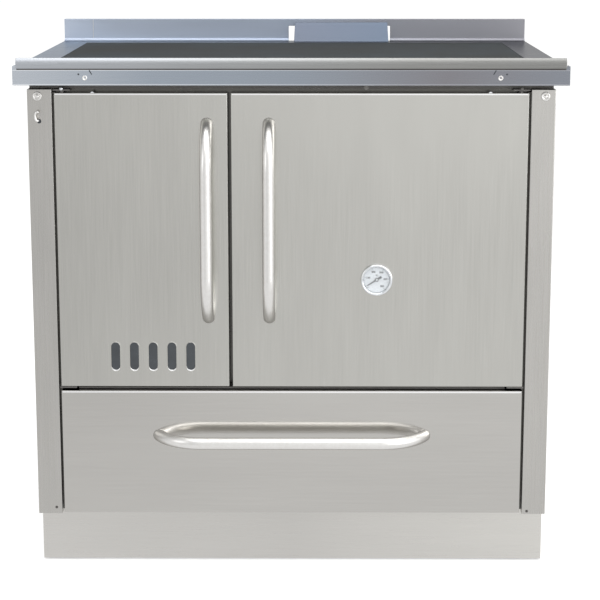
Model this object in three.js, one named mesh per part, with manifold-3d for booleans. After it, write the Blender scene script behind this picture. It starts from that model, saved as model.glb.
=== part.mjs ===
// A built-in wood cookstove, 900 mm wide: stainless carcass, two hinged doors, a wood drawer,
// a plain hob plate in a stainless worktop, firebox, oven, flue outlet and controls.
// Millimetres, +Z up. The front faces -Y and +X is to the right of someone who stands at the front.
// The origin is on the floor, under the middle of the whole stove's box.
// Every place below is measured from the stile face (y = 0); the last group centres the depth.
import * as THREE from "three";
import { mergeVertices } from "three/addons/utils/BufferGeometryUtils.js";
import Module from "manifold-3d";

const wasm = await Module();
wasm.setup();

// ---- Driving dimensions: clearances and stock ----
const SEAT = 0.3; // gap between pieces that bear on each other
const RUNNING_GAP = 1; // gap round a piece that slides in its mouth
const SHEET = 2; // folded stainless sheet
const PLATE = 4; // welded firebox plate
const ROUND_SIDES = 16; // facets of a round bar
const DISC_SIDES = 40; // facets of a wide disc or pipe
const VENT_ARC_STEPS = 4; // facets of a quarter turn at a vent slot's end

// ---- Driving dimensions: cabinet ----
const BODY_WIDTH = 866; // over the stiles
const BODY_DEPTH = 545; // stile face to the back of the rear panel
const PLINTH_HEIGHT = 98;
const PLINTH_SETBACK = 40;
const PLINTH_FLOOR_GAP = 3;
const STILE_WIDTH = 40;
const STILE_DEPTH = 30;
const DRAWER_FRONT_HEIGHT = 215;
const DRAWER_FRONT_DEPTH = 12;
const DRAWER_PLINTH_GAP = 2;
const DECK_GAP = 8; // dark gap between the drawer and the doors
const DOOR_HEIGHT = 495;
const DOOR_EDGE_GAP = 4; // stile to door
const DOOR_SPLIT_X = -102; // middle of the gap between the doors
const DOOR_SPLIT_GAP = 6;
const STILE_OVER_DOOR = 6;
const TOP_FRAME_HEIGHT = 41; // stile top to worktop
const TRAY_LIP = 20;
const CROSSRAIL_SETBACK = 14;
const CROSSRAIL_DEPTH = 30;
const DECK_EDGE_HEIGHT = 3;
const DECK_EDGE_SETBACK = 12;
const MULLION_WIDTH = 15;
const MULLION_DEPTH = 20;
const REAR_FLANGE = 20;
const FOOT_INSET_X = 53;
const FOOT_INSET_Y = 80;
const FOOT_RADIUS = 25;
const FOOT_PAD_HEIGHT = 12;
const FOOT_STEM_RADIUS = 7;

// ---- Driving dimensions: worktop ----
const WORKTOP_OVERHANG = 11; // past the stiles, each side
const WORKTOP_DEPTH = 600;
const WORKTOP_SKIRT = 27;
const RAIL_PROUD = 40; // front nosing in front of the stiles
const NOSING_RISE = 13; // nosing above the worktop
const NOSING_DROP = 4; // nosing below the worktop level, over the fascia
const NOSING_THICKNESS = 3;
const NOSING_FACE = 9; // upright part of the nosing's front
const NOSING_DEPTH = 10;
const NOSING_TOP_FLAT = 5;
const FASCIA_OVERHANG = 6; // fascia past the worktop, each side
const FASCIA_HEIGHT = 31;
const FASCIA_RETURN = 22;
const HOB_SIDE_MARGIN = 49; // hob to the worktop's side edges
const HOB_DEPTH = 474;
const HOB_REAR_MARGIN = 61; // hob to the worktop's rear edge
const HOB_PLATE = 8;
const HOB_GAP = 0.7;
const HOB_LEDGE = 12;
const HOB_RIM = 2;
const HOB_LEDGE_PLATE = 2;
const HOB_GASKET = 1.7;
const BACKSPLASH_HEIGHT = 42;
const BACKSPLASH_INSET = 1; // from the worktop's sides
const BACKSPLASH_DEPTH = 14;
const BACKSPLASH_REAR_LIP = 12;
const BACKSPLASH_BEAD_HEIGHT = 5;
const BACKSPLASH_BEAD_DEPTH = 5;
const FLUE_X = 86.5; // middle of the flue outlet and of the notch above it
const NOTCH_WIDTH = 195;
const NOTCH_HEIGHT = 29;
const COVER_WIDTH = 181;
const COVER_OFFSET = 3.2; // the cover sits nearer the notch's right edge
const COVER_TAPER = 2; // narrower at the top, each side
const COVER_HEIGHT = 36;
const COVER_LEAN = 14;
const COVER_FOOT = 17;
const COVER_REAR_GAP = 8;

// ---- Driving dimensions: doors ----
const PAN_DEPTH = 22;
const LINER_THICKNESS = 8;
const LINER_INSET = 1; // it seats on the pan's folded edges
const GASKET_THICKNESS = 7;
const GASKET_WIDTH = 10;
const GASKET_MARGIN = 4; // mouth edge to gasket
const HINGE_INSET = 12; // from the door's hinge edge
const HINGE_SETBACK = 8; // behind the door face
const HINGE_PIN_RADIUS = 4;
const HINGE_PIN_REACH = 12; // into the door
const HINGE_BRACKET_WIDTH = 28;
const HINGE_BRACKET_PLATE = 2.5;
const HINGE_BRACKET_FRONT = 2;
const HINGE_BRACKET_REAR = 60;
const HANDLE_RADIUS = 10;
const HANDLE_PROUD = 49; // door face to bar axis
const HANDLE_BEND_RADIUS = 81;
const HANDLE_STEPS = 34;
const DOOR_HANDLE_LENGTH = 325.5; // between end centres
const DOOR_HANDLE_DROP = 213; // door top to the handle's middle
const DOOR_HANDLE_EDGE = 34; // firebox handle to its door's free edge
const OVEN_HANDLE_EDGE = 62;
const DRAWER_HANDLE_LENGTH = 449.5;
const DRAWER_HANDLE_DROP = 78; // drawer top to handle
const STUD_RADIUS = 3;
const STUD_LENGTH = 12;
const VENT_COUNT = 5;
const VENT_PITCH = 31.6;
const VENT_WIDTH = 14.6;
const VENT_HEIGHT = 47.6;
const VENT_OFFSET_X = 14; // from the firebox door's middle
const VENT_RISE = 52; // door bottom to the slots' middle
const VENT_WINDOW_MARGIN = 8;
const CATCH_WIDTH = 6;
const CATCH_HEIGHT = 40;

// ---- Driving dimensions: thermometer ----
const GAUGE_OFFSET_X = -3; // from the oven door's middle
const GAUGE_DROP = 311; // door top to the gauge's middle
const GAUGE_RADIUS = 26.5;
const GAUGE_PROUD = 7;
const GAUGE_FACE_RADIUS = 22;
const GAUGE_CUP_DEPTH = 14;
const GAUGE_CUP_WALL = 1;
const GAUGE_FLOOR = 2;
const GAUGE_FLANGE = 5;
const PROBE_RADIUS = 4;
const PROBE_REACH = 62;
const DIAL_THICKNESS = 1;
const DIAL_BORE = 1.2;
const LENS_THICKNESS = 1.5;
const LENS_SETBACK = 1; // behind the bezel's front
const NEEDLE_THICKNESS = 0.8;
const NEEDLE_TIP = 19.4;
const NEEDLE_TAIL = 7;
const NEEDLE_WIDTH = 1.8;
const NEEDLE_BOSS_RADIUS = 2.3;
const NEEDLE_BOSS_THICKNESS = 1.6;
const NEEDLE_SHAFT_RADIUS = 0.8;
const NEEDLE_REST_DEG = 212.7; // counter-clockwise from +X, seen from the front

// ---- Driving dimensions: firebox ----
const FIREBOX_SIDE_GAP = 8; // inside the left stile
const FIREBOX_DEPTH = 402;
const FIREBOX_FLOOR = 22;
const FIREBOX_TOP_GAP = 34; // shell top to stile top
const BRICK = 32;
const BRICK_HEIGHT = 358;
const LEDGE_PLATE = 4;
const ASH_MOUTH_HEIGHT = 50;
const ASH_DRAWER_RIGHT = 4; // inside the chamber's right wall
const ASH_DRAWER_LEFT = 47; // from the hinge axis, so that the open door clears it
const ASH_DRAWER_HEIGHT = 47;
const ASH_DRAWER_DEPTH = 330;
const ASH_LIP = 5;
const ASH_LIP_WIDTH = 60;
const FIRE_SILL = 26; // ledge to the loading mouth
const FIRE_MOUTH_HEIGHT = 340;
const GRATE_THICKNESS = 10;
const GRATE_GAP = 5; // to the bricks, each side
const GRATE_REAR_GAP = 19;
const GRATE_RIM = 9;
const GRATE_MARGIN = 14; // rim and first rib
const GRATE_SLOTS = 8;
const GRATE_SLOT_WIDTH = 10;
const GRATE_BRIDGE = 12; // between the two rows of slots

// ---- Driving dimensions: oven ----
const OVEN_WALL = 3;
const OVEN_HEIGHT = 384;
const OVEN_DEPTH = 425;
const OVEN_LEFT_MARGIN = 24.5; // mullion to oven
const OVEN_RIGHT_MARGIN = 59; // oven to the door's outer edge
const OVEN_RISE = 79; // deck to the oven's inner floor
const OVEN_FLANGE = 3;
const LEDGE_WIDTH = 9;
const LEDGE_HEIGHT = 3;
const LEDGE_COUNT = 3;
const LEDGE_PITCH = 95;
const RACK_LEDGE = 1; // rack stands on the ledge of this number, from the bottom
const RACK_SIDE_GAP = 4;
const RACK_FRONT_GAP = 9;
const RACK_DEPTH = 395;
const RACK_FRAME_RADIUS = 3;
const RACK_WIRE_RADIUS = 2;
const RACK_WIRES = 13;

// ---- Driving dimensions: flue, damper and air control ----
const FLUE_OUTER_RADIUS = 75;
const FLUE_WALL = 3;
const FLUE_DROP = 84; // stile top to the flue's axis
const FLUE_PROJECTION = 30; // behind the rear panel
const FLUE_SPIGOT = 15; // ahead of the rear panel
const FLUE_FLANGE_RADIUS = 92;
const FLUE_FLANGE = 3;
const DUCT_WIDTH = 201;
const DUCT_DEPTH = 69;
const DUCT_HEIGHT = 222;
const DUCT_TOP_GAP = 2; // duct top to stile top
const BYPASS_WIDTH = 70;
const BYPASS_DEPTH = 40;
const DAMPER_LAP = 8; // damper plate past the opening, each side
const DAMPER_PLATE = 3;
const DAMPER_ROD_X = 122;
const DAMPER_ROD_RISE = 6; // stile top to the rod's axis
const DAMPER_ROD_RADIUS = 3;
const DAMPER_KNOB_RADIUS = 3.8;
const DAMPER_KNOB_LENGTH = 12;
const DAMPER_KNOB_PROUD = 28; // stile face to the knob's front
const DAMPER_TAB_WIDTH = 16;
const DAMPER_TAB_THICKNESS = 6;
const AIR_ROD_INSET = 17; // from the body's left side
const AIR_ROD_DROP = 51; // stile top to the rod's axis
const AIR_ROD_RADIUS = 2.5;
const AIR_ROD_LENGTH = 160;
const AIR_HOOK_PROUD = 9;
const AIR_HOOK_RISE = 15;
const AIR_PORT_DEPTH = 25;
const AIR_PORT_HEIGHT = 20;
const AIR_PORT_Y = 112;
const AIR_SHUTTER_LAP = 9;
const AIR_SHUTTER_PLATE = 3;
const AIR_ARM_THICKNESS = 4;
const AIR_ARM_HEIGHT = 20;
const AIR_ARM_PAST_ROD = 8;

// ---- Driving dimensions: drawer and fixings ----
const DRAWER_BOX_SIDE_GAP = 13; // inside the stiles
const DRAWER_BOX_DEPTH = 428;
const DRAWER_BOX_HEIGHT = 165;
const RUNNER_RISE = 23; // plinth top to the runner's ledge
const RUNNER_LAP = 8; // ledge under the drawer box
const RUNNER_HEIGHT = 30;
const RUNNER_LENGTH = 470;
const SCREW_DROP = 11; // stile top to the ringed screws
const SCREW_INSET = 17; // from the body's side
const SCREW_RING_RADIUS = 7.5;
const SCREW_HEAD_RADIUS = 4.5;
const SCREW_SHANK_RADIUS = 2.5;
const SCREW_PROUD = 3.2;
const SCREW_REACH = 9;

// ---- Places worked out from them ----
const HALF_BODY = BODY_WIDTH / 2;
const STILE_INNER = HALF_BODY - STILE_WIDTH;
const SIDE_INNER = HALF_BODY - SHEET - SEAT; // nearest a piece comes to a side panel
const DOOR_OUTER = STILE_INNER - DOOR_EDGE_GAP;
const LEFT_DOOR = [-DOOR_OUTER, DOOR_SPLIT_X - DOOR_SPLIT_GAP / 2];
const RIGHT_DOOR = [DOOR_SPLIT_X + DOOR_SPLIT_GAP / 2, DOOR_OUTER];
const DRAWER_BOTTOM = PLINTH_HEIGHT + DRAWER_PLINTH_GAP;
const DRAWER_TOP = DRAWER_BOTTOM + DRAWER_FRONT_HEIGHT;
const DOOR_BOTTOM = DRAWER_TOP + DECK_GAP;
const DOOR_TOP = DOOR_BOTTOM + DOOR_HEIGHT;
const STILE_TOP = DOOR_TOP + STILE_OVER_DOOR;
const WORKTOP_TOP = STILE_TOP + TOP_FRAME_HEIGHT;
const WORKTOP_UNDERSIDE = WORKTOP_TOP - SHEET;
const DECK_TOP = DRAWER_TOP + DECK_GAP / 2;
const CARCASS_FACE = PAN_DEPTH + LINER_THICKNESS + GASKET_THICKNESS + 3 * SEAT;
const NOSING_FRONT = -RAIL_PROUD;
const WORKTOP_REAR = WORKTOP_DEPTH - RAIL_PROUD;
const HALF_WORKTOP = HALF_BODY + WORKTOP_OVERHANG;
const HALF_HOB = HALF_WORKTOP - HOB_SIDE_MARGIN;
const FASCIA_FRONT = NOSING_FRONT + NOSING_THICKNESS + SEAT;
const WORKTOP_FRONT = FASCIA_FRONT + SHEET + SEAT;
const HOB_FLOOR = WORKTOP_TOP + SEAT - HOB_PLATE - SEAT - HOB_GASKET - SEAT;
const HOB_REAR = WORKTOP_REAR - HOB_REAR_MARGIN;
const CROSSRAIL_TOP = HOB_FLOOR - HOB_LEDGE_PLATE - SEAT;
const REAR_INNER = BODY_DEPTH - SHEET - SEAT;
const MULLION = [DOOR_SPLIT_X - MULLION_WIDTH / 2, DOOR_SPLIT_X + MULLION_WIDTH / 2];
const LEFT_HINGE_X = -DOOR_OUTER + HINGE_INSET;
const RIGHT_HINGE_X = DOOR_OUTER - HINGE_INSET;
const CARCASS_BASE = DECK_TOP + SEAT; // what stands on the deck starts here

const FIREBOX = [-STILE_INNER + FIREBOX_SIDE_GAP, MULLION[0] - SEAT];
const FIREBOX_REAR = CARCASS_FACE + FIREBOX_DEPTH;
const FIREBOX_TOP = STILE_TOP - FIREBOX_TOP_GAP;
const ASH_FLOOR = CARCASS_BASE + FIREBOX_FLOOR;
const ASH_MOUTH_TOP = ASH_FLOOR + ASH_MOUTH_HEIGHT;
const LEDGE_TOP = ASH_MOUTH_TOP + LEDGE_PLATE + BRICK / 4;
const FIREBOX_INNER = [FIREBOX[0] + PLATE, FIREBOX[1] - PLATE];
const CHAMBER = [FIREBOX_INNER[0] + BRICK + SEAT, FIREBOX_INNER[1] - BRICK - SEAT];
const ASH_DRAWER = [LEFT_HINGE_X + ASH_DRAWER_LEFT, CHAMBER[1] - ASH_DRAWER_RIGHT];
const CHAMBER_REAR = FIREBOX_REAR - PLATE - BRICK - SEAT;
const FIRE_MOUTH_BOTTOM = LEDGE_TOP + FIRE_SILL;
const FIRE_MOUTH = [FIRE_MOUTH_BOTTOM, FIRE_MOUTH_BOTTOM + FIRE_MOUTH_HEIGHT];

const OVEN = [MULLION[1] + OVEN_LEFT_MARGIN, DOOR_OUTER - OVEN_RIGHT_MARGIN];
const OVEN_FLOOR = DECK_TOP + OVEN_RISE;
const OVEN_CEILING = OVEN_FLOOR + OVEN_HEIGHT;
const OVEN_REAR = CARCASS_FACE + OVEN_DEPTH;

const FLUE_Z = STILE_TOP - FLUE_DROP;
const FLUE_END = BODY_DEPTH + FLUE_PROJECTION;
const DUCT_TOP = STILE_TOP - DUCT_TOP_GAP;
const DUCT_FRONT = REAR_INNER - DUCT_DEPTH;
const BYPASS = [FLUE_X - BYPASS_WIDTH / 2, FLUE_X + BYPASS_WIDTH / 2];
const BYPASS_Y = [DUCT_FRONT + BYPASS_DEPTH / 2 - 6, DUCT_FRONT + (3 * BYPASS_DEPTH) / 2 - 6];
const DAMPER_ROD_Z = STILE_TOP + DAMPER_ROD_RISE;
const AIR_ROD_X = -HALF_BODY + AIR_ROD_INSET;
const AIR_ROD_Z = STILE_TOP - AIR_ROD_DROP;

const DRAWER_BOX = STILE_INNER - DRAWER_BOX_SIDE_GAP;
const RUNNER_TOP = PLINTH_HEIGHT + RUNNER_RISE + SHEET;
const VENT_CENTRE_X = (LEFT_DOOR[0] + LEFT_DOOR[1]) / 2 + VENT_OFFSET_X;
const GAUGE_X = (RIGHT_DOOR[0] + RIGHT_DOOR[1]) / 2 + GAUGE_OFFSET_X;
const GAUGE_Z = DOOR_TOP - GAUGE_DROP;
const HANDLE_FRONT = -(HANDLE_PROUD + HANDLE_RADIUS);
const DEPTH_SHIFT = -(HANDLE_FRONT + FLUE_END) / 2; // centres the whole box on Y = 0

// ---- Finishes ----
const FINISHES = {
  brushedSteel: { color: 0xbcbab5, roughness: 0.38, metalness: 0.9 },
  worktopSteel: { color: 0x99a2ab, roughness: 0.3, metalness: 0.95 },
  handleSteel: { color: 0xd9d9d8, roughness: 0.22, metalness: 1.0 },
  darkSteel: { color: 0x55554f, roughness: 0.6, metalness: 0.5 },
  galvanised: { color: 0xa4a8a8, roughness: 0.5, metalness: 0.8 },
  castIron: { color: 0x4c4e50, roughness: 0.55, metalness: 0.6 },
  firebrick: { color: 0xcdb892, roughness: 0.95, metalness: 0.0 },
  gasketRope: { color: 0x77756e, roughness: 0.98, metalness: 0.0 },
  enamel: { color: 0x2c2f36, roughness: 0.2, metalness: 0.1 },
  chrome: { color: 0xe4e6e8, roughness: 0.08, metalness: 1.0 },
  dialWhite: { color: 0xe6eaee, roughness: 0.5, metalness: 0.1 },
  glass: { color: 0xf4f8fa, roughness: 0.03, metalness: 0.0, transparent: true, opacity: 0.25 },
  needleBlack: { color: 0x3b3f44, roughness: 0.45, metalness: 0.3 },
  footBlack: { color: 0x2a2a2a, roughness: 0.7, metalness: 0.0 },
};

// ---- Solids: joining, cutting and the basic stock ----

// A closed three.js geometry as a solid that can be joined and cut.
function solidFrom(geometry) {
  geometry.deleteAttribute("normal");
  geometry.deleteAttribute("uv");
  const merged = mergeVertices(geometry);
  const mesh = new wasm.Mesh({
    numProp: 3,
    vertProperties: new Float32Array(merged.attributes.position.array),
    triVerts: new Uint32Array(merged.index.array),
  });
  return new wasm.Manifold(mesh);
}

// The finished solid as a named mesh with a material of its own.
function piece(name, solid, finish) {
  const mesh = solid.getMesh();
  const indexed = new THREE.BufferGeometry();
  indexed.setAttribute("position", new THREE.BufferAttribute(mesh.vertProperties, 3));
  indexed.setIndex(new THREE.BufferAttribute(mesh.triVerts, 1));
  indexed.computeVertexNormals();
  const result = new THREE.Mesh(indexed, new THREE.MeshStandardMaterial(FINISHES[finish]));
  result.name = name;
  return result;
}

function group(...children) {
  const result = new THREE.Group();
  result.add(...children);
  return result;
}

function block([x0, x1], [y0, y1], [z0, z1]) {
  const geometry = new THREE.BoxGeometry(x1 - x0, y1 - y0, z1 - z0);
  geometry.translate((x0 + x1) / 2, (y0 + y1) / 2, (z0 + z1) / 2);
  return solidFrom(geometry);
}

// A block with walls of one thickness. open lists the faces left open, as "front", "top" and so on.
function shell(x, y, z, wall, open) {
  const past = (face) => (open.includes(face) ? -wall : wall);
  const hollow = block(
    [x[0] + past("left"), x[1] - past("right")],
    [y[0] + past("front"), y[1] - past("rear")],
    [z[0] + past("bottom"), z[1] - past("top")],
  );
  return block(x, y, z).subtract(hollow);
}

function outlineShape(points) {
  return new THREE.Shape(points.map(([a, b]) => new THREE.Vector2(a, b)));
}

function extruded(shape, length) {
  const options = { depth: length, bevelEnabled: false, curveSegments: VENT_ARC_STEPS };
  return new THREE.ExtrudeGeometry(shape, options);
}

// Outline points are [y, z]; the section runs along X.
function alongX(points, [x0, x1]) {
  const geometry = extruded(outlineShape(points), x1 - x0);
  const basis = new THREE.Matrix4().set(0, 0, 1, x0, 1, 0, 0, 0, 0, 1, 0, 0, 0, 0, 0, 1);
  geometry.applyMatrix4(basis);
  return solidFrom(geometry);
}

// A shape drawn in [x, z]; the section runs along Y.
function alongY(shape, [y0, y1]) {
  const geometry = extruded(shape, y1 - y0);
  geometry.rotateX(Math.PI / 2);
  geometry.translate(0, y1, 0);
  return solidFrom(geometry);
}

// Outline points are [x, y]; the section runs up Z.
function alongZ(points, [z0, z1]) {
  const geometry = extruded(outlineShape(points), z1 - z0);
  geometry.translate(0, 0, z0);
  return solidFrom(geometry);
}

// A round bar along Y, at x and z.
function barAlongY(radius, [y0, y1], x, z, sides = ROUND_SIDES) {
  const geometry = new THREE.CylinderGeometry(radius, radius, y1 - y0, sides);
  geometry.translate(x, (y0 + y1) / 2, z);
  return solidFrom(geometry);
}

// A round bar up Z, at x and y.
function barAlongZ(radius, [z0, z1], x, y, sides = ROUND_SIDES) {
  const geometry = new THREE.CylinderGeometry(radius, radius, z1 - z0, sides);
  geometry.rotateX(Math.PI / 2);
  geometry.translate(x, y, (z0 + z1) / 2);
  return solidFrom(geometry);
}

// Profile points are [radius, y]; the solid turns about the Y axis.
function turned(profile, sides) {
  const points = profile.map(([radius, y]) => new THREE.Vector2(radius, y));
  return solidFrom(new THREE.LatheGeometry(points, sides));
}

// A flat frame: the outer rectangle less the inner one, over one stretch of Y.
function frameAlongY(outerX, outerZ, width, y) {
  const outer = block(outerX, y, outerZ);
  const innerX = [outerX[0] + width, outerX[1] - width];
  const innerZ = [outerZ[0] + width, outerZ[1] - width];
  return outer.subtract(block(innerX, [y[0] - 1, y[1] + 1], innerZ));
}

// The middle line of a bow handle: an arc off the panel, a straight bar, and an arc back.
class BowLine extends THREE.Curve {
  constructor(length, sunk) {
    super();
    this.radius = HANDLE_BEND_RADIUS;
    this.sweep = Math.acos((this.radius - HANDLE_PROUD - sunk) / this.radius);
    this.seatSweep = Math.acos((this.radius - HANDLE_PROUD) / this.radius);
    this.halfStraight = length / 2 - this.radius * Math.sin(this.seatSweep);
    this.arc = this.radius * this.sweep;
    this.total = 2 * this.arc + 2 * this.halfStraight;
  }

  getPoint(t, target = new THREE.Vector3()) {
    const along = (t - 0.5) * this.total;
    const bent = Math.max(0, Math.abs(along) - this.halfStraight) / this.radius;
    const straight = Math.min(Math.abs(along), this.halfStraight);
    const reach = Math.sign(along) * (straight + this.radius * Math.sin(bent));
    const proud = HANDLE_PROUD - this.radius * (1 - Math.cos(bent));
    return target.set(reach, -proud, 0);
  }
}

// A bow handle that lies along X with its middle at the origin, and its two studs through the panel.
function bowHandle(length) {
  const sunk = 2 * HANDLE_RADIUS;
  const circle = new THREE.EllipseCurve(0, 0, HANDLE_RADIUS, HANDLE_RADIUS, 0, 2 * Math.PI);
  const section = new THREE.Shape(circle.getPoints(ROUND_SIDES));
  const line = new BowLine(length, sunk);
  const options = { steps: HANDLE_STEPS, bevelEnabled: false, extrudePath: line };
  const tube = solidFrom(new THREE.ExtrudeGeometry(section, options));
  const behind = block([-length, length], [-SEAT, HANDLE_PROUD], [-HANDLE_PROUD, HANDLE_PROUD]);
  const stud = (x) => barAlongY(STUD_RADIUS, [-HANDLE_RADIUS / 2, STUD_LENGTH], x, 0, 10);
  return tube.subtract(behind).add(stud(-length / 2)).add(stud(length / 2));
}

// The two holes that a bow handle's studs pass through, from the front of y = 0 to the given depth.
function studHoles([x0, z0], [x1, z1], depth = SHEET + 1) {
  const hole = (x, z) => barAlongY(STUD_RADIUS + SEAT, [-1, depth], x, z, 10);
  return hole(x0, z0).add(hole(x1, z1));
}

// ---- Carcass ----

function plinth() {
  const x = [-HALF_BODY, HALF_BODY];
  const y = [PLINTH_SETBACK, BODY_DEPTH - PLINTH_SETBACK];
  const sheet = shell(x, y, [PLINTH_FLOOR_GAP, PLINTH_HEIGHT - SEAT], SHEET, ["top", "bottom", "rear"]);
  return piece("plinth", sheet, "brushedSteel");
}

function levellingFoot(name, x, y) {
  const radius = FOOT_RADIUS;
  const profile = [
    [0, 0],
    [radius, 0],
    [radius, FOOT_PAD_HEIGHT / 2],
    [radius - FOOT_PAD_HEIGHT / 2, FOOT_PAD_HEIGHT],
    [FOOT_STEM_RADIUS, FOOT_PAD_HEIGHT],
    [FOOT_STEM_RADIUS, PLINTH_HEIGHT - SEAT],
    [0, PLINTH_HEIGHT - SEAT],
  ];
  const foot = piece(name, turned(profile, ROUND_SIDES), "footBlack");
  foot.rotation.x = Math.PI / 2;
  foot.position.set(x, y, 0);
  return foot;
}

function levellingFeet() {
  const x = HALF_BODY - FOOT_INSET_X;
  const rear = BODY_DEPTH - FOOT_INSET_Y;
  return group(
    levellingFoot("levelling_foot_front_left", -x, FOOT_INSET_Y),
    levellingFoot("levelling_foot_front_right", x, FOOT_INSET_Y),
    levellingFoot("levelling_foot_rear_left", -x, rear),
    levellingFoot("levelling_foot_rear_right", x, rear),
  );
}

function baseTray() {
  const y = [STILE_DEPTH + SEAT, REAR_INNER - SHEET - SEAT];
  const z = [PLINTH_HEIGHT, PLINTH_HEIGHT + TRAY_LIP];
  const tray = shell([-SIDE_INNER, SIDE_INNER], y, z, SHEET, ["top"]);
  return piece("base_tray", tray, "galvanised");
}

// A folded C section, open to the rear. side is -1 for the left stile and 1 for the right.
function stile(side) {
  const outer = side * HALF_BODY;
  const inner = side * STILE_INNER;
  const x = [Math.min(outer, inner), Math.max(outer, inner)];
  return shell(x, [0, STILE_DEPTH], [PLINTH_HEIGHT, STILE_TOP], SHEET, ["rear", "top", "bottom"]);
}

function screwHole(side) {
  const x = side * (HALF_BODY - SCREW_INSET);
  return barAlongY(SCREW_SHANK_RADIUS + SEAT, [-1, SHEET + 1], x, STILE_TOP - SCREW_DROP);
}

function stiles() {
  const rodHole = barAlongY(AIR_ROD_RADIUS + SEAT, [-1, SHEET + 1], AIR_ROD_X, AIR_ROD_Z);
  const left = stile(-1).subtract(screwHole(-1)).subtract(rodHole);
  const right = stile(1).subtract(screwHole(1));
  return group(piece("left_stile", left, "brushedSteel"), piece("right_stile", right, "brushedSteel"));
}

// A cupped washer and a domed screw, with its shank through the stile.
function stileScrew(name, side) {
  const profile = [
    [0, -SCREW_PROUD],
    [SCREW_HEAD_RADIUS - 1.5, -SCREW_PROUD],
    [SCREW_HEAD_RADIUS, -SCREW_PROUD / 2],
    [SCREW_HEAD_RADIUS, -SHEET / 2],
    [SCREW_RING_RADIUS - 1, -SCREW_PROUD / 2],
    [SCREW_RING_RADIUS, -SHEET / 2],
    [SCREW_RING_RADIUS, -SEAT],
    [SCREW_SHANK_RADIUS, -SEAT],
    [SCREW_SHANK_RADIUS, SCREW_REACH],
    [0, SCREW_REACH],
  ];
  const screw = piece(name, turned(profile, ROUND_SIDES), "handleSteel");
  screw.position.set(side * (HALF_BODY - SCREW_INSET), 0, STILE_TOP - SCREW_DROP);
  return screw;
}

// A side sheet with a flange folded in at the rear.
function sidePanel(name, side) {
  const outer = side * HALF_BODY;
  const inner = side * (HALF_BODY - SHEET);
  const flange = side * (HALF_BODY - REAR_FLANGE);
  const front = STILE_DEPTH + SEAT;
  const points = [
    [outer, front],
    [outer, REAR_INNER],
    [flange, REAR_INNER],
    [flange, REAR_INNER - SHEET],
    [inner, REAR_INNER - SHEET],
    [inner, front],
  ];
  return piece(name, alongZ(points, [PLINTH_HEIGHT, WORKTOP_UNDERSIDE - SEAT]), "brushedSteel");
}

function rearPanel() {
  const y = [BODY_DEPTH - SHEET, BODY_DEPTH];
  const sheet = block([-HALF_BODY, HALF_BODY], y, [PLINTH_HEIGHT, WORKTOP_UNDERSIDE - SEAT]);
  const hole = barAlongY(FLUE_OUTER_RADIUS + SEAT, [y[0] - 1, y[1] + 1], FLUE_X, FLUE_Z, DISC_SIDES);
  return piece("rear_panel", sheet.subtract(hole), "galvanised");
}

// The dark channel over the doors. It sits on the stiles and carries the worktop's front.
function topCrossrail() {
  const y = [CROSSRAIL_SETBACK, CROSSRAIL_SETBACK + CROSSRAIL_DEPTH];
  const z = [STILE_TOP + SEAT, CROSSRAIL_TOP];
  const channel = shell([-SIDE_INNER, SIDE_INNER], y, z, SHEET, ["rear", "left", "right"]);
  const hole = barAlongY(DAMPER_ROD_RADIUS + SEAT, [y[0] - 1, y[0] + SHEET + 1], DAMPER_ROD_X, DAMPER_ROD_Z);
  return piece("top_crossrail", channel.subtract(hole), "darkSteel");
}

// The floor of the cooking part, on flanges folded down along the side panels.
// Its dark front edge reaches into the gap between the doors and the drawer, between the hinges.
function drawerDeck() {
  const y = [CARCASS_FACE + SHEET, REAR_INNER - SHEET - SEAT];
  const z = [DECK_TOP - REAR_FLANGE, DECK_TOP];
  const floor = shell([-SIDE_INNER, SIDE_INNER], y, z, SHEET, ["bottom", "front", "rear"]);
  const half = DOOR_OUTER - HINGE_BRACKET_WIDTH - SEAT;
  const edgeZ = [DECK_TOP - DECK_EDGE_HEIGHT, DECK_TOP];
  const edge = block([-half, half], [DECK_EDGE_SETBACK, y[0] + SHEET], edgeZ);
  return piece("drawer_deck", floor.add(edge), "darkSteel");
}

function centreMullion() {
  const y = [CARCASS_FACE, CARCASS_FACE + MULLION_DEPTH];
  const mullion = shell(MULLION, y, [CARCASS_BASE, STILE_TOP], SHEET, ["rear", "top", "bottom"]);
  return piece("centre_mullion", mullion, "darkSteel");
}

// ---- Worktop ----

// The raised nosing along the worktop's front, hooked over the fascia.
function frontNosing() {
  const top = WORKTOP_TOP + NOSING_RISE;
  const bottom = WORKTOP_TOP - NOSING_DROP;
  const back = NOSING_FRONT + NOSING_DEPTH;
  const points = [
    [NOSING_FRONT, bottom],
    [NOSING_FRONT + NOSING_THICKNESS, bottom],
    [NOSING_FRONT + NOSING_THICKNESS, WORKTOP_TOP + SEAT],
    [back, WORKTOP_TOP + SEAT],
    [back, top - 1],
    [back - 1, top],
    [back - NOSING_TOP_FLAT, top],
    [NOSING_FRONT, bottom + NOSING_FACE],
  ];
  return piece("front_nosing", alongX(points, [-HALF_WORKTOP, HALF_WORKTOP]), "worktopSteel");
}

// The fascia under the nosing, folded back along its bottom and its ends.
function frontFascia() {
  const half = HALF_WORKTOP + FASCIA_OVERHANG;
  const y = [FASCIA_FRONT, FASCIA_FRONT + FASCIA_RETURN];
  const z = [WORKTOP_TOP - FASCIA_HEIGHT, WORKTOP_TOP];
  const sheet = shell([-half, half], y, z, SHEET, ["rear", "top"]);
  const skirtTop = WORKTOP_UNDERSIDE - WORKTOP_SKIRT - SEAT;
  const room = block(
    [-HALF_WORKTOP - SEAT, HALF_WORKTOP + SEAT],
    [WORKTOP_FRONT - SEAT, y[1] + 1],
    [skirtTop, WORKTOP_TOP + 1],
  );
  return piece("front_fascia", sheet.subtract(room), "worktopSteel");
}

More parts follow.
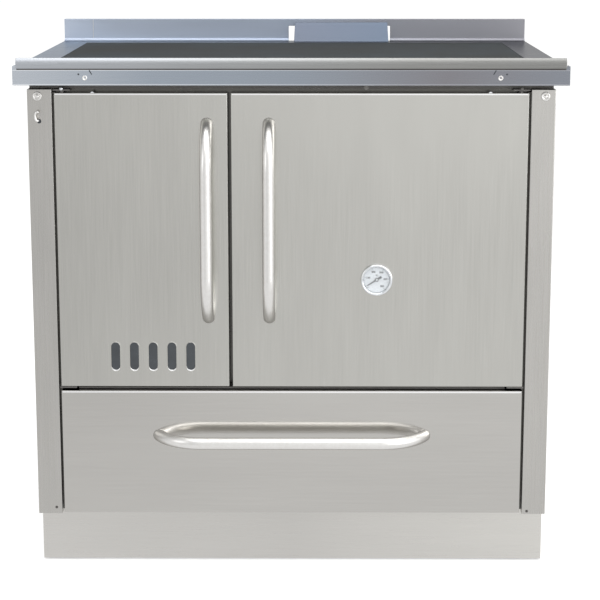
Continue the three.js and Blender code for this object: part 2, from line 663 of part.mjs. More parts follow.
// The worktop sheet with its side skirts and the sunk ledge that carries the hob.
function worktopFrame() {
  const x = [-HALF_WORKTOP, HALF_WORKTOP];
  const y = [WORKTOP_FRONT, WORKTOP_REAR];
  const z = [WORKTOP_UNDERSIDE - WORKTOP_SKIRT, WORKTOP_TOP];
  const sheet = shell(x, y, z, SHEET, ["bottom", "front", "rear"]);
  const hobX = [-HALF_HOB, HALF_HOB];
  const hobY = [HOB_REAR - HOB_DEPTH, HOB_REAR];
  const grown = ([a, b], by) => [a - by, b + by];
  const rim = block(grown(hobX, HOB_RIM), grown(hobY, HOB_RIM), [HOB_FLOOR - HOB_LEDGE_PLATE, WORKTOP_TOP]);
  const pocket = block(hobX, hobY, [HOB_FLOOR, WORKTOP_TOP + 1]);
  const through = block(grown(hobX, -HOB_LEDGE), grown(hobY, -HOB_LEDGE), [z[0], WORKTOP_TOP + 1]);
  return piece("worktop_frame", sheet.add(rim).subtract(pocket).subtract(through), "worktopSteel");
}

function hob() {
  const x = [-HALF_HOB + HOB_GAP, HALF_HOB - HOB_GAP];
  const y = [HOB_REAR - HOB_DEPTH + HOB_GAP, HOB_REAR - HOB_GAP];
  const gasketZ = [HOB_FLOOR + SEAT, HOB_FLOOR + SEAT + HOB_GASKET];
  const width = HOB_LEDGE - HOB_GAP;
  const within = ([a, b]) => [a + width, b - width];
  const inner = block(within(x), within(y), [HOB_FLOOR, gasketZ[1] + 1]);
  const gasket = block(x, y, gasketZ).subtract(inner);
  const plate = block(x, y, [gasketZ[1] + SEAT, WORKTOP_TOP + SEAT]);
  return group(piece("hob_gasket", gasket, "gasketRope"), piece("hob_plate", plate, "castIron"));
}

// The upstand along the back, with a bead at its foot and a notch where the flue passes.
function backsplash() {
  const rear = WORKTOP_REAR;
  const front = rear - BACKSPLASH_DEPTH;
  const foot = WORKTOP_TOP + SEAT;
  const top = WORKTOP_TOP + BACKSPLASH_HEIGHT;
  const points = [
    [front - BACKSPLASH_BEAD_DEPTH, foot],
    [front + SHEET, foot],
    [front + SHEET, top - SHEET],
    [rear - SHEET, top - SHEET],
    [rear - SHEET, top - BACKSPLASH_REAR_LIP],
    [rear, top - BACKSPLASH_REAR_LIP],
    [rear, top],
    [front, top],
    [front, foot + BACKSPLASH_BEAD_HEIGHT],
    [front - BACKSPLASH_BEAD_DEPTH / 2, foot + BACKSPLASH_BEAD_HEIGHT],
    [front - BACKSPLASH_BEAD_DEPTH, foot + BACKSPLASH_BEAD_HEIGHT / 2],
  ];
  const half = HALF_WORKTOP - BACKSPLASH_INSET;
  const notch = block(
    [FLUE_X - NOTCH_WIDTH / 2, FLUE_X + NOTCH_WIDTH / 2],
    [front - BACKSPLASH_BEAD_DEPTH - 1, front + SHEET + 1],
    [WORKTOP_TOP, WORKTOP_TOP + NOTCH_HEIGHT],
  );
  return piece("backsplash", alongX(points, [-half, half]).subtract(notch), "worktopSteel");
}

// The plate that leans over the notch and lifts off. Its foot rests on the worktop.
function flueCover() {
  const foot = WORKTOP_TOP + SEAT;
  const reach = WORKTOP_REAR - BACKSPLASH_DEPTH - COVER_REAR_GAP;
  const front = reach - COVER_LEAN - SHEET;
  const points = [
    [front, foot],
    [front + COVER_FOOT, foot],
    [front + COVER_FOOT, foot + SHEET],
    [front + SHEET, foot + SHEET],
    [reach, foot + COVER_HEIGHT],
    [reach - SHEET, foot + COVER_HEIGHT],
  ];
  const middle = FLUE_X + COVER_OFFSET;
  const half = COVER_WIDTH / 2;
  const outline = outlineShape([
    [middle - half, foot - 1],
    [middle + half, foot - 1],
    [middle + half - COVER_TAPER, foot + COVER_HEIGHT + 1],
    [middle - half + COVER_TAPER, foot + COVER_HEIGHT + 1],
  ]);
  const sheet = alongX(points, [middle - half - 1, middle + half + 1]);
  const tapered = sheet.intersect(alongY(outline, [front - 1, reach + COVER_FOOT]));
  return piece("flue_cover", tapered, "worktopSteel");
}

// ---- Hinges ----

// A bracket plate with the pin that the door turns on. up is 1 for the bottom hinge, -1 for the top.
function hingeBracket(name, side, up) {
  const edge = side * (DOOR_OUTER + 2);
  const inner = edge - side * HINGE_BRACKET_WIDTH;
  const x = [Math.min(edge, inner), Math.max(edge, inner)];
  const seat = up > 0 ? DECK_TOP + SEAT : STILE_TOP;
  const face = seat + up * HINGE_BRACKET_PLATE;
  const door = up > 0 ? DOOR_BOTTOM : DOOR_TOP;
  const tip = door + up * HINGE_PIN_REACH;
  const rear = up > 0 ? HINGE_BRACKET_REAR : CROSSRAIL_SETBACK + CROSSRAIL_DEPTH;
  const clear = up > 0 ? rear : CARCASS_FACE - SEAT;
  const ordered = (a, b) => [Math.min(a, b), Math.max(a, b)];
  const plate = block(x, [HINGE_BRACKET_FRONT, Math.min(rear, clear)], ordered(seat, face));
  const axis = side * (DOOR_OUTER - HINGE_INSET);
  const pin = barAlongZ(HINGE_PIN_RADIUS, ordered(seat, tip), axis, HINGE_SETBACK);
  return piece(name, plate.add(pin), "darkSteel");
}

// The room that a box standing on the deck leaves round a bottom bracket.
function bracketRoom(side) {
  const edge = side * (DOOR_OUTER + 2);
  const inner = edge - side * (HINGE_BRACKET_WIDTH + SEAT);
  const x = [Math.min(edge, inner), Math.max(edge, inner)];
  const top = CARCASS_BASE + HINGE_BRACKET_PLATE + SEAT;
  return block(x, [CARCASS_FACE - 1, HINGE_BRACKET_REAR + SEAT], [CARCASS_BASE - 1, top]);
}

function hinges() {
  return group(
    hingeBracket("firebox_hinge_bottom", -1, 1),
    hingeBracket("firebox_hinge_top", -1, -1),
    hingeBracket("oven_hinge_bottom", 1, 1),
    hingeBracket("oven_hinge_top", 1, -1),
  );
}

// ---- Doors ----

// A folded door pan, open at the rear, with the hinge-pin holes in its top and bottom returns.
function doorPan(x, hingeX) {
  const z = [DOOR_BOTTOM, DOOR_TOP];
  const pan = shell(x, [0, PAN_DEPTH], z, SHEET, ["rear"]);
  const pinHole = barAlongZ(HINGE_PIN_RADIUS + SEAT, [z[0] - 1, z[1] + 1], hingeX, HINGE_SETBACK);
  return pan.subtract(pinHole);
}

function doorLiner(x) {
  const inset = LINER_INSET;
  const y = [PAN_DEPTH + SEAT, PAN_DEPTH + SEAT + LINER_THICKNESS];
  return block([x[0] + inset, x[1] - inset], y, [DOOR_BOTTOM + inset, DOOR_TOP - inset]);
}

function doorGasket(x, z) {
  const grow = GASKET_MARGIN + GASKET_WIDTH;
  const y0 = PAN_DEPTH + LINER_THICKNESS + 2 * SEAT;
  const outerX = [x[0] - grow, x[1] + grow];
  return frameAlongY(outerX, [z[0] - grow, z[1] + grow], GASKET_WIDTH, [y0, y0 + GASKET_THICKNESS]);
}

// A catch block on the back of a liner. nearX is its edge next to the gap between the doors.
function doorCatch(name, nearX, direction) {
  const farX = nearX + direction * CATCH_WIDTH;
  const x = [Math.min(nearX, farX), Math.max(nearX, farX)];
  const y0 = PAN_DEPTH + LINER_THICKNESS + 2 * SEAT;
  const middle = (DOOR_BOTTOM + DOOR_TOP) / 2;
  const z = [middle - CATCH_HEIGHT / 2, middle + CATCH_HEIGHT / 2];
  return piece(name, block(x, [y0, y0 + GASKET_THICKNESS], z), "darkSteel");
}

function uprightHandle(name, x) {
  const handle = piece(name, bowHandle(DOOR_HANDLE_LENGTH), "handleSteel");
  handle.rotation.y = Math.PI / 2;
  handle.position.set(x, 0, DOOR_TOP - DOOR_HANDLE_DROP);
  return handle;
}

function doorStudHoles(x) {
  const middle = DOOR_TOP - DOOR_HANDLE_DROP;
  const half = DOOR_HANDLE_LENGTH / 2;
  return studHoles([x, middle - half], [x, middle + half]);
}

// One upright slot with round ends, drawn in [x, z].
function ventSlot(x, z) {
  const radius = VENT_WIDTH / 2;
  const straight = VENT_HEIGHT / 2 - radius;
  const shape = new THREE.Shape();
  shape.absarc(x, z + straight, radius, 0, Math.PI);
  shape.absarc(x, z - straight, radius, Math.PI, 2 * Math.PI);
  return shape;
}

function fireboxDoor() {
  const handleX = LEFT_DOOR[1] - DOOR_HANDLE_EDGE;
  const ventZ = DOOR_BOTTOM + VENT_RISE;
  const pan = doorPan(LEFT_DOOR, LEFT_HINGE_X).subtract(doorStudHoles(handleX));
  let skin = pan;
  for (let i = 0; i < VENT_COUNT; i += 1) {
    const x = VENT_CENTRE_X + (i - (VENT_COUNT - 1) / 2) * VENT_PITCH;
    skin = skin.subtract(alongY(ventSlot(x, ventZ), [-1, SHEET + 1]));
  }
  const margin = VENT_WINDOW_MARGIN;
  const halfWindow = ((VENT_COUNT - 1) * VENT_PITCH + VENT_WIDTH) / 2 + margin;
  const window = block(
    [VENT_CENTRE_X - halfWindow, VENT_CENTRE_X + halfWindow],
    [PAN_DEPTH, PAN_DEPTH + LINER_THICKNESS + 1],
    [ventZ - VENT_HEIGHT / 2 + margin, ventZ + VENT_HEIGHT / 2],
  );
  const mouthX = [Math.min(CHAMBER[0], ASH_DRAWER[0]), Math.max(CHAMBER[1], ASH_DRAWER[1])];
  return group(
    piece("firebox_door_skin", skin, "brushedSteel"),
    piece("firebox_door_liner", doorLiner(LEFT_DOOR).subtract(window), "darkSteel"),
    piece("firebox_door_gasket", doorGasket(mouthX, [ASH_FLOOR + SEAT, FIRE_MOUTH[1]]), "gasketRope"),
    uprightHandle("firebox_door_handle", handleX),
    doorCatch("firebox_door_catch", LEFT_DOOR[1] - LINER_INSET - SEAT, -1),
  );
}

function ovenDoor() {
  const handleX = RIGHT_DOOR[0] + OVEN_HANDLE_EDGE;
  const cupRadius = GAUGE_FACE_RADIUS + GAUGE_CUP_WALL;
  const gaugeHole = barAlongY(cupRadius + SEAT, [-1, SHEET + 1], GAUGE_X, GAUGE_Z, DISC_SIDES);
  const probeHole = barAlongY(PROBE_RADIUS + SEAT, [PAN_DEPTH, CARCASS_FACE], GAUGE_X, GAUGE_Z);
  const skin = doorPan(RIGHT_DOOR, RIGHT_HINGE_X).subtract(doorStudHoles(handleX)).subtract(gaugeHole);
  return group(
    piece("oven_door_skin", skin, "brushedSteel"),
    piece("oven_door_liner", doorLiner(RIGHT_DOOR).subtract(probeHole), "enamel"),
    piece("oven_door_gasket", doorGasket(OVEN, [OVEN_FLOOR, OVEN_CEILING]), "gasketRope"),
    uprightHandle("oven_door_handle", handleX),
    doorCatch("oven_door_catch", RIGHT_DOOR[0] + LINER_INSET + SEAT, 1),
  );
}

// ---- Thermometer, in a group whose origin is the middle of its face, on the door's front ----

function thermometerCase() {
  const cup = GAUGE_FACE_RADIUS + GAUGE_CUP_WALL;
  const profile = [
    [0, PROBE_REACH],
    [PROBE_RADIUS, PROBE_REACH],
    [PROBE_RADIUS, GAUGE_CUP_DEPTH],
    [cup, GAUGE_CUP_DEPTH],
    [cup, -SEAT],
    [GAUGE_RADIUS, -SEAT],
    [GAUGE_RADIUS, -GAUGE_FLANGE],
    [GAUGE_RADIUS - GAUGE_PROUD + GAUGE_FLANGE, -GAUGE_PROUD],
    [GAUGE_FACE_RADIUS, -GAUGE_PROUD],
    [GAUGE_FACE_RADIUS, GAUGE_CUP_DEPTH - GAUGE_FLOOR],
    [0, GAUGE_CUP_DEPTH - GAUGE_FLOOR],
  ];
  return piece("thermometer_case", turned(profile.reverse(), DISC_SIDES), "chrome");
}

function thermometerDial() {
  const radius = GAUGE_FACE_RADIUS - SEAT;
  const disc = barAlongY(radius, [-DIAL_THICKNESS, 0], 0, 0, DISC_SIDES);
  return piece("thermometer_dial", disc.subtract(barAlongY(DIAL_BORE, [-2, 1], 0, 0)), "dialWhite");
}

function thermometerLens() {
  const front = -GAUGE_PROUD + LENS_SETBACK;
  const disc = barAlongY(GAUGE_FACE_RADIUS - SEAT, [front, front + LENS_THICKNESS], 0, 0, DISC_SIDES);
  return piece("thermometer_lens", disc, "glass");
}

// The needle points down to the left at room temperature and turns on its shaft.
function thermometerNeedle() {
  const angle = THREE.MathUtils.degToRad(NEEDLE_REST_DEG);
  const half = NEEDLE_WIDTH / 2;
  const place = ([along, across]) => [
    along * Math.cos(angle) - across * Math.sin(angle),
    along * Math.sin(angle) + across * Math.cos(angle),
  ];
  const outline = [
    [-NEEDLE_TAIL, -half],
    [0, -half],
    [NEEDLE_TIP, -half / 4],
    [NEEDLE_TIP, half / 4],
    [0, half],
    [-NEEDLE_TAIL, half],
  ];
  const front = -DIAL_THICKNESS - NEEDLE_BOSS_THICKNESS - SEAT;
  const bladeFront = front + (NEEDLE_BOSS_THICKNESS - NEEDLE_THICKNESS) / 2;
  const blade = alongY(outlineShape(outline.map(place)), [bladeFront, bladeFront + NEEDLE_THICKNESS]);
  const boss = barAlongY(NEEDLE_BOSS_RADIUS, [front, front + NEEDLE_BOSS_THICKNESS], 0, 0);
  const shaftEnd = GAUGE_CUP_DEPTH - GAUGE_FLOOR - SEAT;
  const shaft = barAlongY(NEEDLE_SHAFT_RADIUS, [front + NEEDLE_BOSS_THICKNESS / 2, shaftEnd], 0, 0, 10);
  return piece("thermometer_needle", blade.add(boss).add(shaft), "needleBlack");
}

function thermometer() {
  const parts = group(thermometerCase(), thermometerDial(), thermometerLens(), thermometerNeedle());
  parts.position.set(GAUGE_X, 0, GAUGE_Z);
  return parts;
}

// ---- Wood drawer ----

function woodDrawer() {
  const x = [-DOOR_OUTER, DOOR_OUTER];
  const handleZ = DRAWER_TOP - DRAWER_HANDLE_DROP;
  const half = DRAWER_HANDLE_LENGTH / 2;
  const pan = shell(x, [0, DRAWER_FRONT_DEPTH], [DRAWER_BOTTOM, DRAWER_TOP], SHEET, ["rear"]);
  const boxY = [SHEET + SEAT, SHEET + SEAT + DRAWER_BOX_DEPTH];
  const boxZ = [RUNNER_TOP + SEAT, RUNNER_TOP + SEAT + DRAWER_BOX_HEIGHT];
  const studs = studHoles([-half, handleZ], [half, handleZ], boxY[0] + SHEET + 1);
  const front = pan.subtract(studs);
  const box = shell([-DRAWER_BOX, DRAWER_BOX], boxY, boxZ, SHEET, ["top"]).subtract(studs);
  const handle = piece("drawer_handle", bowHandle(DRAWER_HANDLE_LENGTH), "handleSteel");
  handle.position.set(0, 0, handleZ);
  return group(
    piece("drawer_front", front, "brushedSteel"),
    piece("drawer_box", box, "galvanised"),
    handle,
  );
}

// A runner on the inside of a side panel: an upright web, and a ledge under the drawer box.
function drawerRunner(name, side) {
  const wall = side * SIDE_INNER;
  const web = side * (SIDE_INNER - SHEET);
  const lip = side * (DRAWER_BOX - RUNNER_LAP);
  const y = [STILE_DEPTH + SHEET + 2 * SEAT, STILE_DEPTH + SHEET + RUNNER_LENGTH];
  const shape = outlineShape([
    [wall, RUNNER_TOP - SHEET],
    [wall, RUNNER_TOP + RUNNER_HEIGHT],
    [web, RUNNER_TOP + RUNNER_HEIGHT],
    [web, RUNNER_TOP],
    [lip, RUNNER_TOP],
    [lip, RUNNER_TOP - SHEET],
  ]);
  return piece(name, alongY(shape, y), "galvanised");
}

// ---- Firebox ----

function fireboxShell() {
  const y = [CARCASS_FACE, FIREBOX_REAR];
  const outer = block(FIREBOX, y, [CARCASS_BASE, FIREBOX_TOP]);
  const innerY = [y[0] + PLATE, y[1] - PLATE];
  const pit = block(FIREBOX_INNER, innerY, [ASH_FLOOR, LEDGE_TOP - LEDGE_PLATE]);
  const chamber = block(FIREBOX_INNER, innerY, [LEDGE_TOP, FIREBOX_TOP + 1]);
  const grateX = [CHAMBER[0] + GRATE_RIM, CHAMBER[1] - GRATE_RIM];
  const grateY = [CARCASS_FACE + PLATE + BRICK, CHAMBER_REAR - GRATE_REAR_GAP - GRATE_RIM];
  const drop = block(grateX, grateY, [ASH_FLOOR, LEDGE_TOP + 1]);
  const through = [y[0] - 1, y[0] + PLATE + 1];
  const gap = RUNNING_GAP;
  const ashMouth = block([ASH_DRAWER[0] - gap, ASH_DRAWER[1] + gap], through, [ASH_FLOOR, ASH_MOUTH_TOP]);
  const fireMouth = block(CHAMBER, through, FIRE_MOUTH);
  const portZ = [AIR_ROD_Z - AIR_PORT_HEIGHT / 2, AIR_ROD_Z + AIR_PORT_HEIGHT / 2];
  const portY = [AIR_PORT_Y - AIR_PORT_DEPTH / 2, AIR_PORT_Y + AIR_PORT_DEPTH / 2];
  const port = block([FIREBOX[0] - 1, FIREBOX_INNER[0] + 1], portY, portZ);
  const cuts = [pit, chamber, drop, ashMouth, fireMouth, port, bracketRoom(-1)];
  const shellSolid = cuts.reduce((rest, cut) => rest.subtract(cut), outer);
  return piece("firebox_shell", shellSolid, "darkSteel");
}

function firebricks() {
  const z = [LEDGE_TOP + SEAT, LEDGE_TOP + SEAT + BRICK_HEIGHT];
  const y = [CARCASS_FACE + PLATE + SEAT, FIREBOX_REAR - PLATE - SEAT];
  const left = block([FIREBOX_INNER[0] + SEAT, CHAMBER[0]], y, z);
  const right = block([CHAMBER[1], FIREBOX_INNER[1] - SEAT], y, z);
  const rear = block([CHAMBER[0] + SEAT, CHAMBER[1] - SEAT], [CHAMBER_REAR, y[1]], z);
  return group(
    piece("firebrick_left", left, "firebrick"),
    piece("firebrick_right", right, "firebrick"),
    piece("firebrick_rear", rear, "firebrick"),
  );
}

// The cast grate: long slots in two rows, over the opening in the ledge.
function fireGrate() {
  const x = [CHAMBER[0] + GRATE_GAP, CHAMBER[1] - GRATE_GAP];
  const y = [CARCASS_FACE + PLATE + BRICK - GRATE_RIM, CHAMBER_REAR - GRATE_REAR_GAP];
  const z = [LEDGE_TOP + SEAT, LEDGE_TOP + SEAT + GRATE_THICKNESS];
  const through = [z[0] - 1, z[1] + 1];
  const inner = x[1] - x[0] - 2 * GRATE_MARGIN;
  const pitch = (inner - GRATE_SLOT_WIDTH) / (GRATE_SLOTS - 1);
  const slotLength = (y[1] - y[0] - 2 * (GRATE_RIM + GRATE_BRIDGE) - GRATE_BRIDGE) / 2;
  let grate = block(x, y, z);
  for (let row = 0; row < 2; row += 1) {
    const y0 = y[0] + GRATE_RIM + GRATE_BRIDGE + row * (slotLength + GRATE_BRIDGE);
    for (let i = 0; i < GRATE_SLOTS; i += 1) {
      const x0 = x[0] + GRATE_MARGIN + i * pitch;
      grate = grate.subtract(block([x0, x0 + GRATE_SLOT_WIDTH], [y0, y0 + slotLength], through));
    }
  }
  return piece("fire_grate", grate, "castIron");
}

function ashDrawer() {
  const y = [CARCASS_FACE, CARCASS_FACE + ASH_DRAWER_DEPTH];
  const z = [ASH_FLOOR + SEAT, ASH_FLOOR + SEAT + ASH_DRAWER_HEIGHT];
  const tray = shell(ASH_DRAWER, y, z, SHEET, ["top"]);
  const middle = (ASH_DRAWER[0] + ASH_DRAWER[1]) / 2;
  const lipX = [middle - ASH_LIP_WIDTH / 2, middle + ASH_LIP_WIDTH / 2];
  const lip = block(lipX, [y[0] - ASH_LIP, y[0] + SHEET / 2], [z[1] - 2 * SHEET, z[1] - SHEET]);
  return piece("ash_drawer", tray.add(lip), "darkSteel");
}

// ---- Oven ----

function ovenLedgeZ(number) {
  return OVEN_FLOOR + LEDGE_PITCH * (number - 0.25);
}

// The enamelled cavity with its front flange, its rack ledges and the hole for the probe kept clear.
function ovenBox() {
  const outerX = [OVEN[0] - OVEN_WALL, OVEN[1] + OVEN_WALL];
  const outerZ = [OVEN_FLOOR - OVEN_WALL, OVEN_CEILING + OVEN_WALL];
  const body = block(outerX, [CARCASS_FACE, OVEN_REAR], outerZ);
  const flangeX = [MULLION[1] + SEAT, STILE_INNER - DOOR_EDGE_GAP];
  const flangeY = [CARCASS_FACE, CARCASS_FACE + OVEN_FLANGE];
  const flange = block(flangeX, flangeY, [CARCASS_BASE, DOOR_TOP - LINER_INSET]);
  const cavity = block(OVEN, [CARCASS_FACE - 1, OVEN_REAR - OVEN_WALL], [OVEN_FLOOR, OVEN_CEILING]);
  let box = body.add(flange).subtract(bracketRoom(1)).subtract(cavity);
  for (let i = 1; i <= LEDGE_COUNT; i += 1) {
    const z = [ovenLedgeZ(i), ovenLedgeZ(i) + LEDGE_HEIGHT];
    const y = [CARCASS_FACE + RACK_FRONT_GAP, OVEN_REAR - OVEN_WALL];
    box = box.add(block([OVEN[0] - 1, OVEN[0] + LEDGE_WIDTH], y, z));
    box = box.add(block([OVEN[1] - LEDGE_WIDTH, OVEN[1] + 1], y, z));
  }
  return piece("oven_box", box, "enamel");
}

function rackBarAlongX(radius, x, y, z) {
  const geometry = new THREE.CylinderGeometry(radius, radius, x[1] - x[0], 8);
  geometry.rotateZ(Math.PI / 2);
  geometry.translate((x[0] + x[1]) / 2, y, z);
  return solidFrom(geometry);
}

// A wire rack: a frame of thick wire with thin wires from front to back.
function ovenRack() {
  const radius = RACK_FRAME_RADIUS;
  const left = OVEN[0] + RACK_SIDE_GAP + radius;
  const right = OVEN[1] - RACK_SIDE_GAP - radius;
  const front = CARCASS_FACE + RACK_FRONT_GAP + radius;
  const rear = front + RACK_DEPTH;
  const z = ovenLedgeZ(RACK_LEDGE) + LEDGE_HEIGHT + SEAT + radius;
  let rack = barAlongY(radius, [front - radius, rear + radius], left, z, 8);
  rack = rack.add(barAlongY(radius, [front - radius, rear + radius], right, z, 8));
  rack = rack.add(rackBarAlongX(radius, [left, right], front, z));
  rack = rack.add(rackBarAlongX(radius, [left, right], rear, z));
  for (let i = 1; i <= RACK_WIRES; i += 1) {
    const x = left + ((right - left) * i) / (RACK_WIRES + 1);
    rack = rack.add(barAlongY(RACK_WIRE_RADIUS, [front, rear], x, z, 6));
  }
  return piece("oven_rack", rack, "handleSteel");
}

// ---- Flue, damper and air control ----

function flueDuct() {
  const x = [FLUE_X - DUCT_WIDTH / 2, FLUE_X + DUCT_WIDTH / 2];
  const y = [DUCT_FRONT, REAR_INNER];
  const box = shell(x, y, [DUCT_TOP - DUCT_HEIGHT, DUCT_TOP], OVEN_WALL, ["bottom"]);
  const bypass = block(BYPASS, BYPASS_Y, [DUCT_TOP - OVEN_WALL - 1, DUCT_TOP + 1]);
  const through = [y[1] - OVEN_WALL - 1, y[1] + 1];
  const outlet = barAlongY(FLUE_OUTER_RADIUS + SEAT, through, FLUE_X, FLUE_Z, DISC_SIDES);
  return piece("flue_duct", box.subtract(bypass).subtract(outlet), "darkSteel");
}

// The round outlet, its spigot in the duct and its flange against the rear panel.
function flueCollar() {
  const inner = FLUE_OUTER_RADIUS - FLUE_WALL;
  const flange = BODY_DEPTH + SEAT;
  const front = BODY_DEPTH - FLUE_SPIGOT;
  const tube = barAlongY(FLUE_OUTER_RADIUS, [front, FLUE_END], FLUE_X, FLUE_Z, DISC_SIDES);
  const ring = barAlongY(FLUE_FLANGE_RADIUS, [flange, flange + FLUE_FLANGE], FLUE_X, FLUE_Z, DISC_SIDES);
  const bore = barAlongY(inner, [front - 1, FLUE_END + 1], FLUE_X, FLUE_Z, DISC_SIDES);
  return piece("flue_collar", tube.add(ring).subtract(bore), "darkSteel");
}

// The pull rod in the dark gap under the nosing, and the plate that it slides over the bypass.
function damper() {
  const plateZ = [DUCT_TOP + SEAT, DUCT_TOP + SEAT + DAMPER_PLATE];
  const lap = DAMPER_LAP;
  const plateX = [BYPASS[0] - lap, Math.max(BYPASS[1] + lap, DAMPER_ROD_X + DAMPER_TAB_WIDTH / 2)];
  const plate = block(plateX, [BYPASS_Y[0] - lap, BYPASS_Y[1] + lap], plateZ);
  const tabX = [DAMPER_ROD_X - DAMPER_TAB_WIDTH / 2, DAMPER_ROD_X + DAMPER_TAB_WIDTH / 2];
  const tabY = [BYPASS_Y[0], BYPASS_Y[0] + DAMPER_TAB_THICKNESS];
  const tab = block(tabX, tabY, [plateZ[0], DAMPER_ROD_Z + 2 * DAMPER_ROD_RADIUS]);
  const holeY = [tabY[0] - 1, tabY[1] + 1];
  const rodHole = barAlongY(DAMPER_ROD_RADIUS + SEAT, holeY, DAMPER_ROD_X, DAMPER_ROD_Z);
  const rod = barAlongY(DAMPER_ROD_RADIUS, [-DAMPER_KNOB_PROUD, tabY[1] + lap], DAMPER_ROD_X, DAMPER_ROD_Z);
  const knobY = [-DAMPER_KNOB_PROUD, -DAMPER_KNOB_PROUD + DAMPER_KNOB_LENGTH];
  const knob = barAlongY(DAMPER_KNOB_RADIUS, knobY, DAMPER_ROD_X, DAMPER_ROD_Z);
  return group(
    piece("damper_rod", rod.add(knob), "handleSteel"),
    piece("damper_plate", plate.add(tab).subtract(rodHole), "castIron"),
  );
}

// The hooked pull at the top of the left stile, and the shutter that it slides over the air port.
function airControl() {
  const pullFront = -AIR_HOOK_PROUD;
  const rod = barAlongY(AIR_ROD_RADIUS, [pullFront, AIR_ROD_LENGTH], AIR_ROD_X, AIR_ROD_Z);
  const hookZ = [AIR_ROD_Z - AIR_ROD_RADIUS, AIR_ROD_Z + AIR_HOOK_RISE];
  const hook = barAlongZ(AIR_ROD_RADIUS, hookZ, AIR_ROD_X, pullFront);
  const lap = AIR_SHUTTER_LAP;
  const plateX = [FIREBOX[0] - SEAT - AIR_SHUTTER_PLATE, FIREBOX[0] - SEAT];
  const plateY = [AIR_PORT_Y - AIR_PORT_DEPTH / 2 - lap, AIR_PORT_Y + AIR_PORT_DEPTH / 2 + lap];
  const plateZ = [AIR_ROD_Z - AIR_PORT_HEIGHT / 2 - lap, AIR_ROD_Z + AIR_PORT_HEIGHT / 2 + lap];
  const plate = block(plateX, plateY, plateZ);
  const armY = [plateY[1] - AIR_ARM_THICKNESS, plateY[1]];
  const armZ = [AIR_ROD_Z - AIR_ARM_HEIGHT / 2, AIR_ROD_Z + AIR_ARM_HEIGHT / 2];
  const arm = block([AIR_ROD_X - AIR_ARM_PAST_ROD, plateX[1]], armY, armZ);
  const rodHole = barAlongY(AIR_ROD_RADIUS + SEAT, [armY[0] - 1, armY[1] + 1], AIR_ROD_X, AIR_ROD_Z);
  return group(
    piece("air_control_rod", rod.add(hook), "handleSteel"),
    piece("air_shutter", plate.add(arm).subtract(rodHole), "galvanised"),
  );
}

// ---- The stove ----

const stove = group(
  plinth(),
  levellingFeet(),
  baseTray(),
  stiles(),
  stileScrew("stile_screw_left", -1),
  stileScrew("stile_screw_right", 1),
  sidePanel("left_side_panel", -1),
  sidePanel("right_side_panel", 1),
  rearPanel(),
  topCrossrail(),
  centreMullion(),
  drawerDeck(),
  frontNosing(),
  frontFascia(),
  worktopFrame(),
  hob(),
  backsplash(),
  flueCover(),
  hinges(),
  fireboxShell(),
  firebricks(),
  fireGrate(),
  ashDrawer(),
  ovenBox(),
  ovenRack(),
  flueDuct(),
  flueCollar(),
  damper(),
  airControl(),
  fireboxDoor(),
  ovenDoor(),
  thermometer(),
  woodDrawer(),
  drawerRunner("drawer_runner_left", -1),
  drawerRunner("drawer_runner_right", 1),
);
stove.position.y = DEPTH_SHIFT;

export default stove;
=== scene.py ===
"""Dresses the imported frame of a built-in wood cookstove.

The frame's nodes give every place and size. Sheet-metal nodes get a copy with rounded folds, round
bars and discs get smooth surfaces in place of their facets, and small fixings and the dial's printing
are added. Everything is in metres, in the frame's own axes: the front faces -Y and +Z is up.
"""

import logging
import math
from dataclasses import dataclass
from enum import Enum

import bmesh
import bpy
import numpy as np
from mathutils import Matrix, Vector


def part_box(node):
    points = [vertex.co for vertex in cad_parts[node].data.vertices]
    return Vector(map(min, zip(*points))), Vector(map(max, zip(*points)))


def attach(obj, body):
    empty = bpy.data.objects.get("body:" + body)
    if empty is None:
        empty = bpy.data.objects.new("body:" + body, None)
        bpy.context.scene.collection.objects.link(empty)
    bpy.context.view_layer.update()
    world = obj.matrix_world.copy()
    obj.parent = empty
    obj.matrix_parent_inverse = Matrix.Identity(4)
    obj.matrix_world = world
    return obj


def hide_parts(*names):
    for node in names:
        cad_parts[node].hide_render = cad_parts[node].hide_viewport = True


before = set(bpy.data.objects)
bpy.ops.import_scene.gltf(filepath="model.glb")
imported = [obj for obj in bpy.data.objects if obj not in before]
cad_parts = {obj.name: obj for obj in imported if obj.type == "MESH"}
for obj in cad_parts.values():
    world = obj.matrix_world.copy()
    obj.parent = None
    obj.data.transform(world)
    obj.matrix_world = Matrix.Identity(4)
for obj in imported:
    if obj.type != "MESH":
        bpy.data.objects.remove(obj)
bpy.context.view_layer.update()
LOG = logging.getLogger("cookstove")
MM = 0.001
MERGE = 0.01 * MM  # corners nearer than this are one
NEAR = 0.05 * MM  # a corner this near a box's side lies on it
SHARP = math.radians(35)  # an edge that turns more than this is rounded
FRONT_TO_REAR = np.array([0.0, 1.0, 0.0])

Tree = bpy.types.NodeTree
Node = bpy.types.Node
Socket = bpy.types.NodeSocket
Solid = tuple[np.ndarray, list]  # points, one row each, and faces as rows of point numbers


# ---- Colour and node helpers ----


def linear(hex_colour: str) -> tuple[float, float, float, float]:
    """Turns an sRGB hex colour into a linear RGBA value.

    Args:
        hex_colour: six hex digits, with or without a leading #.

    Returns:
        Red, green and blue as linear light, and an alpha of 1.
    """
    digits = hex_colour.lstrip("#")
    channels = [int(digits[i : i + 2], 16) / 255 for i in (0, 2, 4)]
    light = [c / 12.92 if c <= 0.04045 else ((c + 0.055) / 1.055) ** 2.4 for c in channels]
    return (light[0], light[1], light[2], 1.0)


